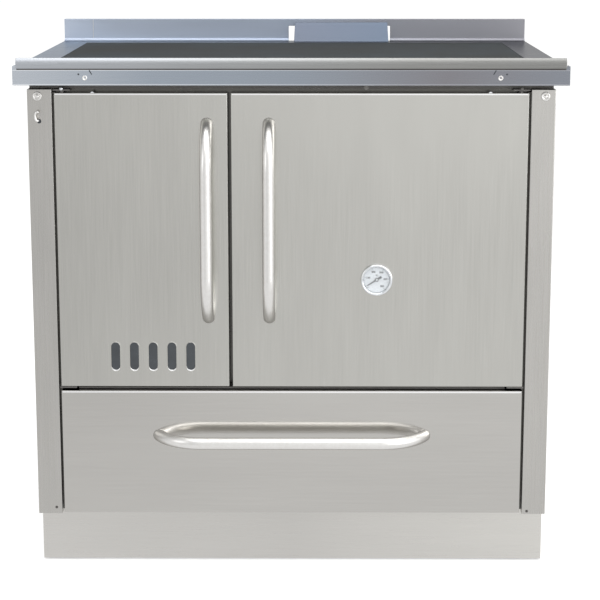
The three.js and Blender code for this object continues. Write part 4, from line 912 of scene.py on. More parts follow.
@dataclass
class Worktop:
    """The worktop's sheets, the hob plate, the upstand and the cover in front of its notch.

    Attributes:
        edge_mm: the radius of a sheet's cut edge.
        nosing_mm: the radius of the nosing's front edges.
        hob_edge_mm: the radius of the hob plate's rim.
        joint: the height of the dark joint under the nosing, which also paints the nosing's shadow.
        lip: the height of the fascia's two painted highlights along its edges.
    """

    edge_mm: float = 0.45
    nosing_mm: float = 1.2
    hob_edge_mm: float = 0.6
    joint: float = 2.1 * MM
    lip: float = 1.3 * MM

    SHEETS = {
        "front_fascia": "brushed_fascia_painted_reflection",
        "worktop_frame": "brushed_frame_painted_reflection",
        "backsplash": "brushed_upstand_painted_reflection",
    }

    def dress(self) -> None:
        """Rounds the edges of each sheet and the rim of the hob plate."""
        for node, finish in self.SHEETS.items():
            softened(node, finish, "cabinet", self.edge_mm)
        softened("front_nosing", "brushed_nosing_painted_reflection", "cabinet", self.edge_mm, self.nosing_mm)
        self.build_nosing_joint_and_painted_light()
        softened("flue_cover", "brushed_cover_painted_reflection", "flue_cover", self.edge_mm)
        softened("hob_plate", "blacked_hob_iron", "cabinet", self.hob_edge_mm)

    def build_nosing_joint_and_painted_light(self) -> None:
        """Lays the dark joint under the nosing, which is also painted shadow, the fascia's two painted
        highlights, and a pale coat under its return that is painted light.
        """
        nosing, (low, high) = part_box("front_nosing"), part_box("front_fascia")
        under, inset = nosing[0].z, 1 * MM
        # A dark joint line that is also the nosing's painted shadow.
        line = block((nosing[0].x + inset, nosing[1].x - inset), (low.y - 0.08 * MM, low.y + 0.4 * MM),
                     (under - self.joint, under - 0.1 * MM))
        put("nosing_joint_and_shadow", *line, "painted_dark_steel", "cabinet", "dark_steel", smooth=False)
        # Painted highlights: two bright lines along the fascia, at its foot and under the joint.
        wide, deep = (low.x + inset, high.x - inset), (low.y - 0.05 * MM, low.y + 0.4 * MM)
        feet = (low.z + 0.7 * MM, under - self.joint - self.lip)
        highlight_lips = joined(*(block(wide, deep, (foot, foot + self.lip)) for foot in feet))
        put("fascia_painted_highlights", *highlight_lips, "lip_painted_highlight_steel", "cabinet", "worktop_steel", smooth=False)
        # Painted light: a pale coat under the fascia's return, so that metal mirrors a lighter underside
        # there.
        coat = block((low.x + 2 * MM, high.x - 2 * MM), (low.y + 1 * MM, high.y - 0.5 * MM),
                     (low.z - 0.2 * MM, low.z))
        put("fascia_return_painted_light", *coat, "pale_painted_light_coat", "cabinet", "worktop_steel", smooth=False)


@dataclass
class BowHandle:
    """A bent tube handle, smooth where the node has facets.

    The middle line is an arc off the panel, a straight bar and an arc back: the same line as the
    node's, worked out from the node's box.

    Attributes:
        node: the CAD node it replaces.
        body: the CAD body it moves with.
        along: the axis that the bar runs along, 0 for X and 2 for Z.
        radius: the tube's radius.
        bend: the radius of the arcs.
        stud: how far the node's studs reach behind the panel.
        steps: how many points each arc has.
        sides: how many sides the tube has.
    """

    node: str
    body: str
    along: int
    radius: float = 10 * MM
    bend: float = 81 * MM
    stud: float = 12 * MM
    steps: int = 28
    sides: int = 40

    def build(self) -> bpy.types.Object:
        """Carries the tube's circle along the bow.

        Returns:
            The handle's object.
        """
        low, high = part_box(self.node)
        panel = high.y - self.stud
        proud = panel - (low.y + self.radius)
        sweep = math.acos((self.bend - proud) / self.bend)
        slant = self.radius / math.sin(sweep)
        half = (high[self.along] - low[self.along]) / 2 - slant
        straight = half - self.bend * math.sin(sweep)
        tail = 0.35 * self.radius
        angle = np.linspace(sweep, 0, self.steps)
        reach = straight + self.bend * np.sin(angle)
        depth = proud - self.bend * (1 - np.cos(angle))
        reach = np.concatenate([[reach[0] + tail * math.cos(sweep)], reach])
        depth = np.concatenate([[depth[0] - tail * math.sin(sweep)], depth])
        path = np.zeros((2 * len(reach), 3))
        middle_point = middle(self.node)
        path[:, self.along] = middle_point[self.along] + np.concatenate([-reach, reach[::-1]])
        path[:, 1] = panel - np.concatenate([depth, depth[::-1]])
        other = 2 - self.along
        path[:, other] = middle_point[other]
        up = np.eye(3)[other]
        points, faces = swept(path, self.radius, up, self.sides)
        points[:, 1] = np.minimum(points[:, 1], panel - 0.05 * MM)
        return put(f"{self.node}_tube", points, faces, "polished_tube_steel", self.body, "handle_steel",
                   (self.node,))


@dataclass
class RopeGasket:
    """A twisted rope laid round a door's mouth, in the space of the node's flat ring.

    Attributes:
        node: the CAD node it replaces.
        body: the CAD body it moves with.
        width: the ring's width.
        strands: how many strands are twisted.
        pitch: the length of one turn of a strand.
        corner: the radius of the rope's corners.
        sides: how many sides the section has.
        step: how far apart the section's places lie along a straight.
    """

    node: str
    body: str
    width: float = 10 * MM
    strands: int = 3
    pitch: float = 24 * MM
    corner: float = 14 * MM
    sides: int = 18
    step: float = 3 * MM

    def build(self) -> bpy.types.Object:
        """Lets the section's radius rise and fall round the rope, with crests that turn as it runs on.

        Returns:
            The rope's object.
        """
        low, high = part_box(self.node)
        depth = high.y - low.y
        reach = self.width / 2
        path, run = self.route(low, high, reach)
        turn = np.linspace(0, 2 * math.pi, self.sides, endpoint=False)
        total = run[-1] + np.linalg.norm(path[0] - path[-1])
        pitch = total / round(total / self.pitch)
        twist = 2 * math.pi * run[:, None] / pitch
        crest = 0.9 + 0.1 * np.cos(self.strands * turn[None, :] + twist)
        ahead = np.roll(path, -1, 0) - np.roll(path, 1, 0)
        ahead /= np.linalg.norm(ahead, axis=1, keepdims=True)
        across = np.cross(ahead, FRONT_TO_REAR)
        wide = crest * reach * np.cos(turn)
        deep = crest * depth / 2 * np.sin(turn)
        points = path[:, None, :] + across[:, None, :] * wide[:, :, None]
        points[:, :, 1] += deep
        faces = list(grid_faces(len(path), self.sides, True, True))
        points = points.reshape(-1, 3)
        return put(f"{self.node}_rope", points, faces, "twisted_glass_rope", self.body, "gasket_rope",
                   (self.node,))

    def route(self, low: Vector, high: Vector, reach: float) -> tuple[np.ndarray, np.ndarray]:
        """Lays a rectangle with round corners.

        Args:
            low: the low corner of the node's box.
            high: its high corner.
            reach: half of the rope's width.

        Returns:
            The points, and how far along the rope each lies.
        """
        y = (low.y + high.y) / 2
        x0, x1, z0, z1 = low.x + reach, high.x - reach, low.z + reach, high.z - reach
        r = self.corner
        quarter = np.linspace(0, math.pi / 2, 8, endpoint=False)
        centres = [(x1 - r, z0 + r, -90), (x1 - r, z1 - r, 0), (x0 + r, z1 - r, 90), (x0 + r, z0 + r, 180)]
        spots = []
        for i, (cx, cz, first) in enumerate(centres):
            bow = quarter + math.radians(first)
            spots.append(np.stack([cx + r * np.cos(bow), cz + r * np.sin(bow)], 1))
            last = math.radians(first + 90)
            here = np.array([cx + r * math.cos(last), cz + r * math.sin(last)])
            nx, nz, _ = centres[(i + 1) % 4]
            there = np.array([nx + r * math.cos(last), nz + r * math.sin(last)])
            count = max(2, int(np.linalg.norm(there - here) / self.step))
            share = np.linspace(0, 1, count, endpoint=False)[:, None]
            spots.append(here + (there - here) * share)
        flat = np.concatenate(spots)
        path = np.stack([flat[:, 0], np.full(len(flat), y), flat[:, 1]], 1)
        run = np.concatenate([[0], np.cumsum(np.linalg.norm(np.diff(path, axis=0), axis=1))])
        return path, run


@dataclass
class Doors:
    """Both doors: skins with rounded folds, liners, rope gaskets, catches and handles.

    Attributes:
        edge_mm: the radius of a cut edge.
        fold_mm: the outer radius of a folded edge.
    """

    edge_mm: float = 0.45
    fold_mm: float = 2.0

    def dress(self) -> None:
        """Builds the firebox door's pieces, then the oven door's."""
        for door, liner in (("firebox_door", "coated_liner_steel"), ("oven_door", "vitreous_enamel")):
            softened(f"{door}_skin", "brushed_door_steel", door,
                     self.edge_mm, self.fold_mm)
            painted_highlight_edge(f"{door}_skin", door)
            repaint(f"{door}_liner", liner)
            repaint(f"{door}_catch", "painted_dark_steel")
            RopeGasket(f"{door}_gasket", door).build()
            BowHandle(f"{door}_handle", door, along=2).build()


@dataclass
class VentRims:
    """The pressed rims round the firebox door's five upright air slots.

    Attributes:
        first: the middle of the left slot, as x and z.
        pitch: from slot to slot.
        wide: the slots' width.
        tall: the slots' height.
        bead: the rim's radius.
        lip: the radius of the painted highlight, a bright bead, at each slot's foot.
        count: how many slots there are.
    """

    first: tuple[float, float] = (-0.2962, 0.375)
    pitch: float = 31.6 * MM
    wide: float = 14.6 * MM
    tall: float = 47.6 * MM
    bead: float = 0.7 * MM
    lip: float = 1.3 * MM
    count: int = 5

    def dress(self) -> None:
        """A round bead along each slot's edge, a bright bead under each that is a painted highlight, and
        behind them the shutter plate, which is also painted shade.
        """
        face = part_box("firebox_door_skin")[0].y
        r, half = self.wide / 2, (self.tall - self.wide) / 2
        top = np.linspace(0, math.pi, 17)
        out = r + 0.9 * self.bead
        x = np.concatenate([out * np.cos(top), out * np.cos(top + math.pi)])
        z = np.concatenate([half + out * np.sin(top), -half + out * np.sin(top + math.pi)])
        loop = np.stack([x, np.full(len(x), face + 0.5 * self.bead), z], 1)
        rims = []
        for i in range(self.count):
            shift = np.array([self.first[0] + i * self.pitch, 0, self.first[1]])
            rims.append(swept(loop + shift, self.bead, FRONT_TO_REAR, 12, closed=True))
        put("vent_rims", *joined(*rims), "brushed_door_steel", "firebox_door", "stainless_panel")
        # Painted highlights: a white bead along each slot's foot.
        low = np.linspace(math.radians(205), math.radians(335), 21)
        highlight_lips = []
        for i in range(self.count):
            x = self.first[0] + i * self.pitch + (r + 0.4 * MM) * np.cos(low)
            z = self.first[1] - half + (r + 1.0 * MM) * np.sin(low)
            bead = self.lip * np.sin((low - low[0]) / (low[-1] - low[0]) * math.pi) ** 0.5 + 0.15 * MM
            path = np.stack([x, np.full(len(x), face + 0.3 * self.lip), z], 1)
            highlight_lips.append(swept(path, bead, FRONT_TO_REAR, 12))
        put("vent_painted_highlights", *joined(*highlight_lips), "painted_highlight_steel", "firebox_door", "stainless_panel")
        # The plate stands for the air shutter and is also painted shade: the slots' shaded inside shows one
        # even grey.
        reach = 2 * self.pitch + self.wide
        centre = self.first[0] + 2 * self.pitch
        height = self.tall / 2 + 4 * MM
        plate = block((centre - reach, centre + reach), (face + 2.6 * MM, face + 3.8 * MM),
                      (self.first[1] - height, self.first[1] + height))
        put("vent_shutter_and_shade", *plate, "shutter_shade_steel", "firebox_door", "dark_steel", smooth=False)


@dataclass
class Drawer:
    """The wood drawer: its front with rounded folds, its box and its handle.

    Attributes:
        edge_mm: the radius of a cut edge.
        fold_mm: the outer radius of a folded edge.
        line: the height of the painted highlight along the front's top edge.
    """

    edge_mm: float = 0.45
    fold_mm: float = 2.0
    line: float = 2.4 * MM

    def dress(self) -> None:
        """Builds the drawer's pieces."""
        softened("drawer_front", "brushed_drawer_steel", "wood_drawer",
                 self.edge_mm, self.fold_mm)
        painted_highlight_edge("drawer_front", "wood_drawer", self.line)
        softened("drawer_box", "galvanised_zinc", "wood_drawer", self.edge_mm)
        BowHandle("drawer_handle", "wood_drawer", along=0).build()


@dataclass
class Thermometer:
    """The oven thermometer: smooth bezel and pane, needle, and the dial's printing.

    Attributes:
        face: the radius of the visible dial.
        bezel: the radius of the bezel.
        proud: how far the bezel stands off the door.
        low_deg: where 0 lies, counter-clockwise from +X, seen from the front.
        step_deg: the turn for each 100 degrees.
        hundreds: the highest number, in hundreds.
        minor: how many short marks make up a hundred.
        needle_deg: where the needle points at rest, counted as low_deg is.
        body: the body that carries all but the needle.
    """

    face: float = 22 * MM
    bezel: float = 26.5 * MM
    proud: float = 7 * MM
    low_deg: float = 222.0
    step_deg: float = 54.6
    hundreds: int = 5
    minor: int = 10
    needle_deg: float = 212.7
    body: str = "oven_door"

    def dress(self) -> None:
        """Builds the case, the needle and the dial's printing, and gives the dial and the pane their
        finishes.
        """
        self.centre = middle("thermometer_dial")
        self.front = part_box("thermometer_dial")[0].y
        self.build_case()
        repaint("thermometer_dial", "lacquered_dial_white")
        repaint("thermometer_lens", "gauge_glass")
        self.build_needle()
        self.build_ticks()
        self.build_numbers()

    def build_case(self) -> None:
        """Turns the rolled bezel, whose lip is a half circle between the face's edge and the rim."""
        low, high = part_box("thermometer_case")
        door = low.y + self.proud
        lip = np.linspace(0, math.pi, 13)
        half = (self.bezel - self.face) / 2
        rolled = np.stack([self.face + half - half * np.cos(lip), low.y + half - half * np.sin(lip)], 1)
        back = door + 14 * MM
        cup, probe = self.face + 1 * MM, 4 * MM
        inner = [[0, back - 2 * MM], [self.face, back - 2 * MM], [self.face, low.y + 2 * half]]
        outer = [[self.bezel, door - 0.3 * MM], [cup, door - 0.3 * MM], [cup, back], [probe, back],
                 [probe, high.y - 1.5 * MM], [probe - 1.5 * MM, high.y], [0, high.y]]
        profile = np.concatenate([inner, rolled, outer])
        centre = np.array([self.centre[0], 0, self.centre[2]])
        points, faces = turned(profile, centre, 72)
        put("thermometer_case_round", points, faces, "plated_gauge_chrome", self.body, "chrome_bezel",
            ("thermometer_case",))

    def build_needle(self) -> None:
        """Lays a tapered blade and a wider tail on a hub, and the hub's pale cap."""
        low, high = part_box("thermometer_needle")
        turn = math.radians(self.needle_deg)
        ahead, side = np.array([math.cos(turn), math.sin(turn)]), np.array([-math.sin(turn), math.cos(turn)])
        here = self.centre[[0, 2]]

        def bar(start: float, end: float, first: float, last: float) -> Solid:
            """Lays a straight bar on the needle's line.

            Args:
                start: where it starts, in millimetres from the axis.
                end: where it ends.
                first: half of its width at the start, in millimetres.
                last: half of its width at the end.

            Returns:
                The points and the faces.
            """
            a, b = here + ahead * start * MM, here + ahead * end * MM
            root, tip = side * first * MM, side * last * MM
            outline = np.array([a - root, b - tip, b + tip, a + root])
            return slab(outline, low.y + 0.3 * MM, self.front - 0.3 * MM)

        axis = np.array([here[0], 0, here[1]])
        hub = [[0, low.y], [3.1 * MM, low.y + 0.2 * MM], [3.1 * MM, high.y], [0, high.y]]
        solid = joined(bar(-9.5, 0, 2.0, 1.3), bar(0, 19.4, 1.3, 0.5), turned(np.array(hub), axis, 32))
        put("thermometer_pointer", *solid, "printed_black", "thermometer_needle", "needle_black",
            ("thermometer_needle",), smooth=False)
        front = low.y - 0.25 * MM
        cap = turned(np.array([[0, front], [1.5 * MM, front], [1.8 * MM, low.y], [0, low.y]]), axis, 24)
        put("thermometer_cap", *cap, "lacquered_dial_white", "thermometer_needle", "dial_white")

    def spot(self, value: float, radius: float) -> np.ndarray:
        """Finds where a temperature lies on a circle of the dial.

        Args:
            value: the temperature, in degrees.
            radius: the circle's radius.

        Returns:
            The place, as x and z.
        """
        turn = math.radians(self.low_deg - self.step_deg * value / 100)
        return self.centre[[0, 2]] + radius * np.array([math.cos(turn), math.sin(turn)])

    def build_ticks(self) -> None:
        """Short bars towards the middle, longer at each hundred, standing 0.05 mm off the dial."""
        bars = []
        for i in range(self.hundreds * self.minor + 1):
            value = i * 100 / self.minor
            long = i % self.minor == 0
            inner, outer = self.face - (3.6 if long else 2.2) * MM, self.face - 0.9 * MM
            half = (0.32 if long else 0.14) * MM
            a, b = self.spot(value, inner), self.spot(value, outer)
            side = (b - a)[::-1] * [-1, 1]
            side = side / np.linalg.norm(side) * half
            ring = np.array([a - side, b - side, b + side, a + side])
            bars.append(slab(ring, self.front - 0.08 * MM, self.front - 0.01 * MM))
        put("dial_ticks", *joined(*bars), "printed_black", self.body, "dial_white", smooth=False)

    def build_numbers(self) -> None:
        """Plain numbers inside the ticks and the unit over the needle's axis."""
        for hundred in range(1, self.hundreds + 1):
            place = self.spot(hundred * 100, self.face - 7.6 * MM)
            self.print_text(f"dial_number_{hundred}00", f"{hundred}00", place, 3.3 * MM)
        place = self.centre[[0, 2]] + np.array([0, 7.2 * MM])
        self.print_text("dial_unit", "°C", place, 2.6 * MM)

    def print_text(self, name: str, words: str, place: np.ndarray, size: float) -> None:
        """Prints a short word flat on the dial.

        Args:
            name: the piece's name.
            words: what it says.
            place: the middle of the word, as x and z.
            size: the letters' height.
        """
        curve = bpy.data.curves.new(name, "FONT")
        curve.body = words
        curve.size = size * 1.35
        curve.align_x = "CENTER"
        curve.align_y = "CENTER"
        curve.extrude = 0.03 * MM
        curve.offset = 0.2 * MM
        holder = bpy.data.objects.new(name, curve)
        bpy.context.scene.collection.objects.link(holder)
        bpy.context.view_layer.update()
        shown = holder.evaluated_get(bpy.context.evaluated_depsgraph_get())
        mesh = bpy.data.meshes.new_from_object(shown)
        bpy.data.objects.remove(holder)
        flat = np.zeros(len(mesh.vertices) * 3)
        mesh.vertices.foreach_get("co", flat)
        flat = flat.reshape(-1, 3)
        face = self.front - 0.05 * MM
        upright = np.stack([flat[:, 0] + place[0], face - flat[:, 2], flat[:, 1] + place[1]], 1)
        mesh.vertices.foreach_set("co", upright.ravel())
        mesh.materials.clear()
        mesh.materials.append(material("printed_black"))
        piece = bpy.data.objects.new(name, mesh)
        bpy.context.scene.collection.objects.link(piece)
        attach(piece, self.body)
        LOG.info("printed %s", words)


@dataclass
class AirHook:
    """The air control's pull: a rod out of the stile, with a small hook bent up from its end.

    Attributes:
        radius: the wire's radius.
        node_radius: the radius of the node's own wire, which gives the axis its height.
        bulge: how far the hook bows out to the left.
        rise: half of the hook's height.
        sweep_deg: where the hook's arc starts and ends.
        steps: how many points the arc has.
        hole: the radius of the clearance hole in the stile.
        node: the CAD node it replaces.
    """

    radius: float = 2.0 * MM
    node_radius: float = 2.5 * MM
    bulge: float = 3.6 * MM
    rise: float = 7.4 * MM
    sweep_deg: tuple[float, float] = (268.0, 58.0)
    steps: int = 26
    hole: float = 3.7 * MM
    node: str = "air_control_rod"

    def dress(self) -> None:
        """Builds the rod and hook as one piece, and the dark clearance hole round the rod."""
        low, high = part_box(self.node)
        x, z = (low.x + high.x) / 2, low.z + self.node_radius
        tip = low.y + 0.6 * MM
        profile = np.array([[0, tip], [self.radius, tip], [self.radius, high.y], [0, high.y]])
        rod = turned(profile, np.array([x, 0, z]), 24)
        bow = np.radians(np.linspace(*self.sweep_deg, self.steps))
        across, up = x + 0.6 * MM + self.bulge * np.cos(bow), z + self.rise * (1 + np.sin(bow))
        path = np.stack([across, np.full(self.steps, low.y + self.radius), up], 1)
        hook = swept(path, self.radius, FRONT_TO_REAR, 20)
        put("air_control_hook", *joined(rod, hook), "polished_tube_steel", "air_control", "handle_steel",
            (self.node,))
        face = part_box("left_stile")[0].y
        hole = disc(x + 1.8 * MM, z - 1.2 * MM, self.hole, (face - 0.06 * MM, face + 0.3 * MM))
        put("air_control_hole", *hole, "shaded_recess", "cabinet", "dark_steel", smooth=False)


@dataclass
class Fixings:
    """Screws, rivets, buffers and the worktop's fixing points and end seam.

    Attributes:
        ring: the radius of the ringed screws' washers.
        ring_bead: the radius of the washers' raised lip.
        head: the radius of the head in the washer.
        shank: the radius of the screw behind it.
        small: the radius of the small screws' heads.
        small_places: the places of the small screws at the stiles' feet, as x and z.
        buffer_x: how far the door buffers lie from the stove's middle.
        cap: the radius of the hinge caps.
        point_x: how far the worktop's fixing points lie from the middle, left and right.
        point_z: how high they lie.
        rivet: the radius of the middle of a rivet's lip.
        seam_x: where the upstand's seam lies.
        seam_wide: the seam's width.
    """

    ring: float = 7.5 * MM
    ring_bead: float = 1.5 * MM
    head: float = 3.2 * MM
    shank: float = 2.5 * MM
    small: float = 2.4 * MM
    small_places: tuple = ((-0.4025, 0.109), (0.4018, 0.103))
    buffer_x: float = 0.326
    cap: float = 3.2 * MM
    point_x: tuple[float, float] = (-0.333, 0.338)
    point_z: float = 0.846
    rivet: float = 4.2 * MM
    seam_x: float = -0.388
    seam_wide: float = 0.9 * MM

    def dress(self) -> None:
        """Builds each kind of fixing."""
        self.stile_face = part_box("left_stile")[0].y
        for side in ("left", "right"):
            self.build_ringed_screw(side)
        self.build_small_screws()
        self.build_buffers()
        self.build_hinge_caps()
        for name, x, way in zip(("left", "right"), self.point_x, (-1, 1)):
            self.build_fixing_point(name, x, way)
        self.build_seam()

    def domed(self, x: float, z: float, face: float, radius: float, proud: float) -> Solid:
        """Turns a low dome on a face that looks to the front, with its root 0.3 mm behind the face.

        Args:
            x: the place of its middle.
            z: the height of its middle.
            face: the face's y.
            radius: the dome's radius.
            proud: how far it stands off the face.

        Returns:
            The points and the faces.
        """
        rise = np.linspace(math.pi / 2, 0, 7)
        crown = np.stack([radius * np.cos(rise), face - proud * np.sin(rise)], 1)
        root = [[radius, face + 0.3 * MM], [0, face + 0.3 * MM]]
        return turned(np.concatenate([crown, root]), np.array([x, 0, z]), 24)

    def build_small_screws(self) -> None:
        """Builds one small pan-head screw at the foot of each stile."""
        heads = [self.domed(x, z, self.stile_face, self.small, 1.4 * MM) for x, z in self.small_places]
        put("stile_foot_screws", *joined(*heads), "painted_dark_steel", "cabinet", "handle_steel")

    def build_buffers(self) -> None:
        """Builds a small bright stop on each door's top edge, arched like half a coin."""
        turn = np.linspace(0, math.pi, 9)
        for door, x in (("firebox_door", -self.buffer_x), ("oven_door", self.buffer_x)):
            low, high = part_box(f"{door}_skin")
            arch = np.stack([x + 3 * MM * np.cos(turn), high.z + 2.6 * MM * np.sin(turn) - 0.2 * MM], 1)
            solid = slab(arch, low.y + 0.8 * MM, low.y + 6 * MM)
            put(f"{door}_buffer", *solid, "plated_gauge_chrome", door, "handle_steel", smooth=False)

    def build_hinge_caps(self) -> None:
        """Builds a cap over the front end of each top hinge's bracket; the right one's duller finish is
        painted shade.
        """
        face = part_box("firebox_door_skin")[0].y
        # The oven cap's duller finish paints the shade it lies in.
        for door, finish in (("firebox", "plated_gauge_chrome"), ("oven", "rolled_rail_steel")):
            low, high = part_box(f"{door}_hinge_top")
            x, z = (low.x + high.x) / 2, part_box(f"{door}_door_skin")[1].z + 7 * MM
            cap = self.domed(x, z, max(low.y, face + 2 * MM), self.cap, 1.6 * MM)
            put(f"{door}_hinge_cap", *cap, finish, "cabinet", "handle_steel")

    def build_fixing_point(self, name: str, x: float, way: int) -> None:
        """Builds a cupped rivet that holds the worktop down, with a dark hole and a slot beside it.

        Args:
            name: left or right.
            x: the rivet's place.
            way: -1 on the left, where the hole lies outside the rivet, and 1 on the right.
        """
        face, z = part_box("front_fascia")[0].y, self.point_z
        lip, bead = np.linspace(math.pi, 0, 7), 1.0 * MM
        rim = np.stack([self.rivet - bead + bead * np.cos(lip), face - 0.2 * MM - bead * np.sin(lip)], 1)
        cup = [[0, face + 0.1 * MM], [1.2 * MM, face + 0.1 * MM]]
        root = [[self.rivet, face + 0.4 * MM], [0, face + 0.4 * MM]]
        rivet = turned(np.concatenate([cup, rim, root]), np.array([x, 0, z]), 28)
        put(f"worktop_rivet_{name}", *rivet, "polished_tube_steel", "cabinet", "handle_steel")
        hole = self.domed(x + way * 10 * MM, z + 6 * MM, face, 1.5 * MM, 0.1 * MM)
        tilt = math.radians(60 * way)
        along, side = np.array([math.cos(tilt), math.sin(tilt)]), np.array([-math.sin(tilt), math.cos(tilt)])
        along, side = along * 4 * MM, side * 0.8 * MM
        spot = np.array([x - way * 9.5 * MM, z + 9 * MM])
        ring = np.array([spot - along - side, spot + along - side, spot + along + side, spot - along + side])
        cuts = joined(hole, slab(ring, face - 0.1 * MM, face + 0.3 * MM))
        put(f"worktop_slots_{name}", *cuts, "shaded_recess", "cabinet", "dark_steel", smooth=False)

    def build_seam(self) -> None:
        """Builds the thin welded seam near the upstand's left end."""
        low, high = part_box("backsplash")
        face = low.y + 5 * MM
        seam = block((self.seam_x, self.seam_x + self.seam_wide), (face - 0.3 * MM, face + 0.3 * MM),
                     (low.z + 5 * MM, high.z - 0.4 * MM))
        put("upstand_seam", *seam, "polished_tube_steel", "cabinet", "worktop_steel", smooth=False)

    def build_ringed_screw(self, side: str) -> None:
        """Builds a cupped washer with a raised lip, and a domed head in it.

        Args:
            side: left or right.
        """
        node = f"stile_screw_{side}"
        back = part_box(node)[1].y
        centre = middle(node)
        face, bead = self.stile_face, self.ring_bead
        dome = np.linspace(math.pi / 2, 0.15, 8)
        crown = np.stack([self.head * np.cos(dome), face - 1.0 * MM - 2.2 * MM * np.sin(dome)], 1)
        lip = np.linspace(math.pi, -0.1, 8)
        rim = np.stack([self.ring - bead + bead * np.cos(lip), face - 0.7 * MM - bead * np.sin(lip)], 1)
        seat = face - 0.25 * MM
        profile = np.concatenate([
            crown,
            [[self.head, face - 0.8 * MM]],
            rim,
            [[self.ring, seat], [self.shank, seat], [self.shank, back], [0, back]],
        ])
        points, faces = turned(profile, np.array([centre[0], 0, centre[2]]), 40)
        put(f"{node}_round", points, faces, "polished_tube_steel", "cabinet", "handle_steel", (node,))


# ---- Studio ----


@dataclass
class Studio:
    """The pale floor, the soft lamps, the white world and the camera.

    The camera's place comes from fitting the photograph's corners by least squares, with the shift
    held to a few hundredths of the frame so that the other views keep the stove in sight.

    Attributes:
        camera_place: where the camera stands.
        camera_down_deg: how far it looks down.
        camera_turn_deg: how far it is turned to the left.
        lens_in_frames: the lens's length, in widths of the sensor.
        shift_x: the shift to the side, in frames.
        shift_y: the shift upwards, in frames.
        lamps: each lamp's name, place, target, width and height, and power in watts.
        floor_half: half of the floor's width.
        floor_glow: what the floor adds for the camera, so that it is white.
        floor_gain: how bright metal sees the floor.
        floor_left: how far in front the floor lies, and its grey for metal, on the left.
        floor_right: the same on the right.
        mirror_ahead: how far behind the stove's middle the fan of left and right starts.
        fan: the share of side to depth at which the left grey ends and the right one starts.
        world_light: how bright the room lights matt pieces.
        room_light: how bright metal sees the room on the left and on the right.
    """

    camera_place: tuple[float, float, float] = (0.0335, -3.2, 1.1075)
    camera_down_deg: float = 11.136
    camera_turn_deg: float = 0.303
    lens_in_frames: float = 2.9989
    shift_x: float = -0.0038
    shift_y: float = -0.055
    lamps: tuple = (
        ("key", (2.3, -2.2, 1.5), (0.1, -0.2, 0.6), (1.5, 2.6), 34.0),
        ("fill", (-2.8, -2.2, 1.6), (-0.1, -0.1, 0.5), (1.6, 2.0), 10.0),
        ("top", (0.2, -0.9, 3.0), (0.0, -0.1, 0.5), (2.6, 2.2), 34.0),
    )
    floor_half: float = 30.0
    floor_glow: float = 0.42
    floor_gain: float = 1.08
    floor_left: tuple = ((0.6, 0.79), (1.8, 0.71), (3.7, 0.63), (6.5, 0.71))
    floor_right: tuple = ((0.6, 0.81), (1.8, 0.84), (3.7, 0.78), (6.5, 1.0))
    mirror_ahead: float = 2.7
    fan: tuple[float, float] = (-0.13, 0.025)
    world_light: float = 0.72
    room_light: tuple[float, float] = (0.62, 1.18)

    def build(self) -> None:
        """Makes everything that isn't the object."""
        self.build_floor()
        self.build_world()
        for lamp in self.lamps:
            self.build_lamp(*lamp)
        self.build_camera()

    def build_floor(self) -> None:
        """Makes a flat pale sheet, white to the camera and holding the stove's shadow."""
        half = self.floor_half
        corners = [(-half, -half, 0), (half, -half, 0), (half, half, 0), (-half, half, 0)]
        mesh = bpy.data.meshes.new("floor")
        mesh.from_pydata(corners, [], [(0, 1, 2, 3)])
        made = bpy.data.materials.new("floor")
        made.use_nodes = True
        tree = made.node_tree
        shader = tree.nodes["Principled BSDF"]
        shader.inputs["Base Color"].default_value = linear("F4F4F3")
        shader.inputs["Roughness"].default_value = 0.9
        shader.inputs["Specular IOR Level"].default_value = 0.0
        paths = add_node(tree, "ShaderNodeLightPath").outputs
        glow = add_node(tree, "ShaderNodeEmission", {"Strength": self.floor_glow}).outputs[0]
        none = add_node(tree, "ShaderNodeEmission", {"Strength": 0.0}).outputs[0]
        lift = add_node(tree, "ShaderNodeMixShader", {}, {0: paths["Is Camera Ray"], 1: none, 2: glow})
        lit = add_node(tree, "ShaderNodeAddShader", {}, {0: shader.outputs[0], 1: lift.outputs[0]})
        grey = self.floor_light(tree)
        shown = add_node(tree, "ShaderNodeEmission", {"Strength": self.floor_gain}, {"Color": grey})
        both = add_node(tree, "ShaderNodeMixShader", {}, {
            0: paths["Is Glossy Ray"], 1: lit.outputs[0], 2: shown.outputs[0],
        })
        tree.links.new(both.outputs[0], tree.nodes["Material Output"].inputs["Surface"])
        mesh.materials.append(made)
        floor = bpy.data.objects.new("floor", mesh)
        bpy.context.scene.collection.objects.link(floor)

    def floor_light(self, tree: Tree) -> Socket:
        """Says how bright metal sees the floor, by how far in front it lies and how far to the side.

        Args:
            tree: the floor's node tree.

        Returns:
            The grey's colour socket.
        """
        place = add_node(tree, "ShaderNodeTexCoord").outputs["Object"]
        parts = add_node(tree, "ShaderNodeSeparateXYZ", {}, {0: place}).outputs
        settings = {"operation": "MULTIPLY", 1: -1.0}
        ahead = add_node(tree, "ShaderNodeMath", settings, {0: parts["Y"]}).outputs[0]
        left, right = (
            ramped(tree, ahead, tuple((far, (grey, grey, grey, 1.0)) for far, grey in steps))
            for steps in (self.floor_left, self.floor_right)
        )
        settings = {"operation": "ADD", 1: self.mirror_ahead}
        reach = add_node(tree, "ShaderNodeMath", settings, {0: ahead}).outputs[0]
        reach = add_node(tree, "ShaderNodeMath", {"operation": "MAXIMUM", 1: 0.5}, {0: reach}).outputs[0]
        side = add_node(tree, "ShaderNodeMath", {"operation": "DIVIDE"}, {0: parts["X"], 1: reach}).outputs[0]
        settings = {"interpolation_type": "SMOOTHSTEP", "From Min": self.fan[0], "From Max": self.fan[1]}
        share = add_node(tree, "ShaderNodeMapRange", settings, {"Value": side}).outputs["Result"]
        mixed = add_node(tree, "ShaderNodeMix", {"data_type": "RGBA"}, {0: share, 6: left, 7: right})
        return mixed.outputs[2]

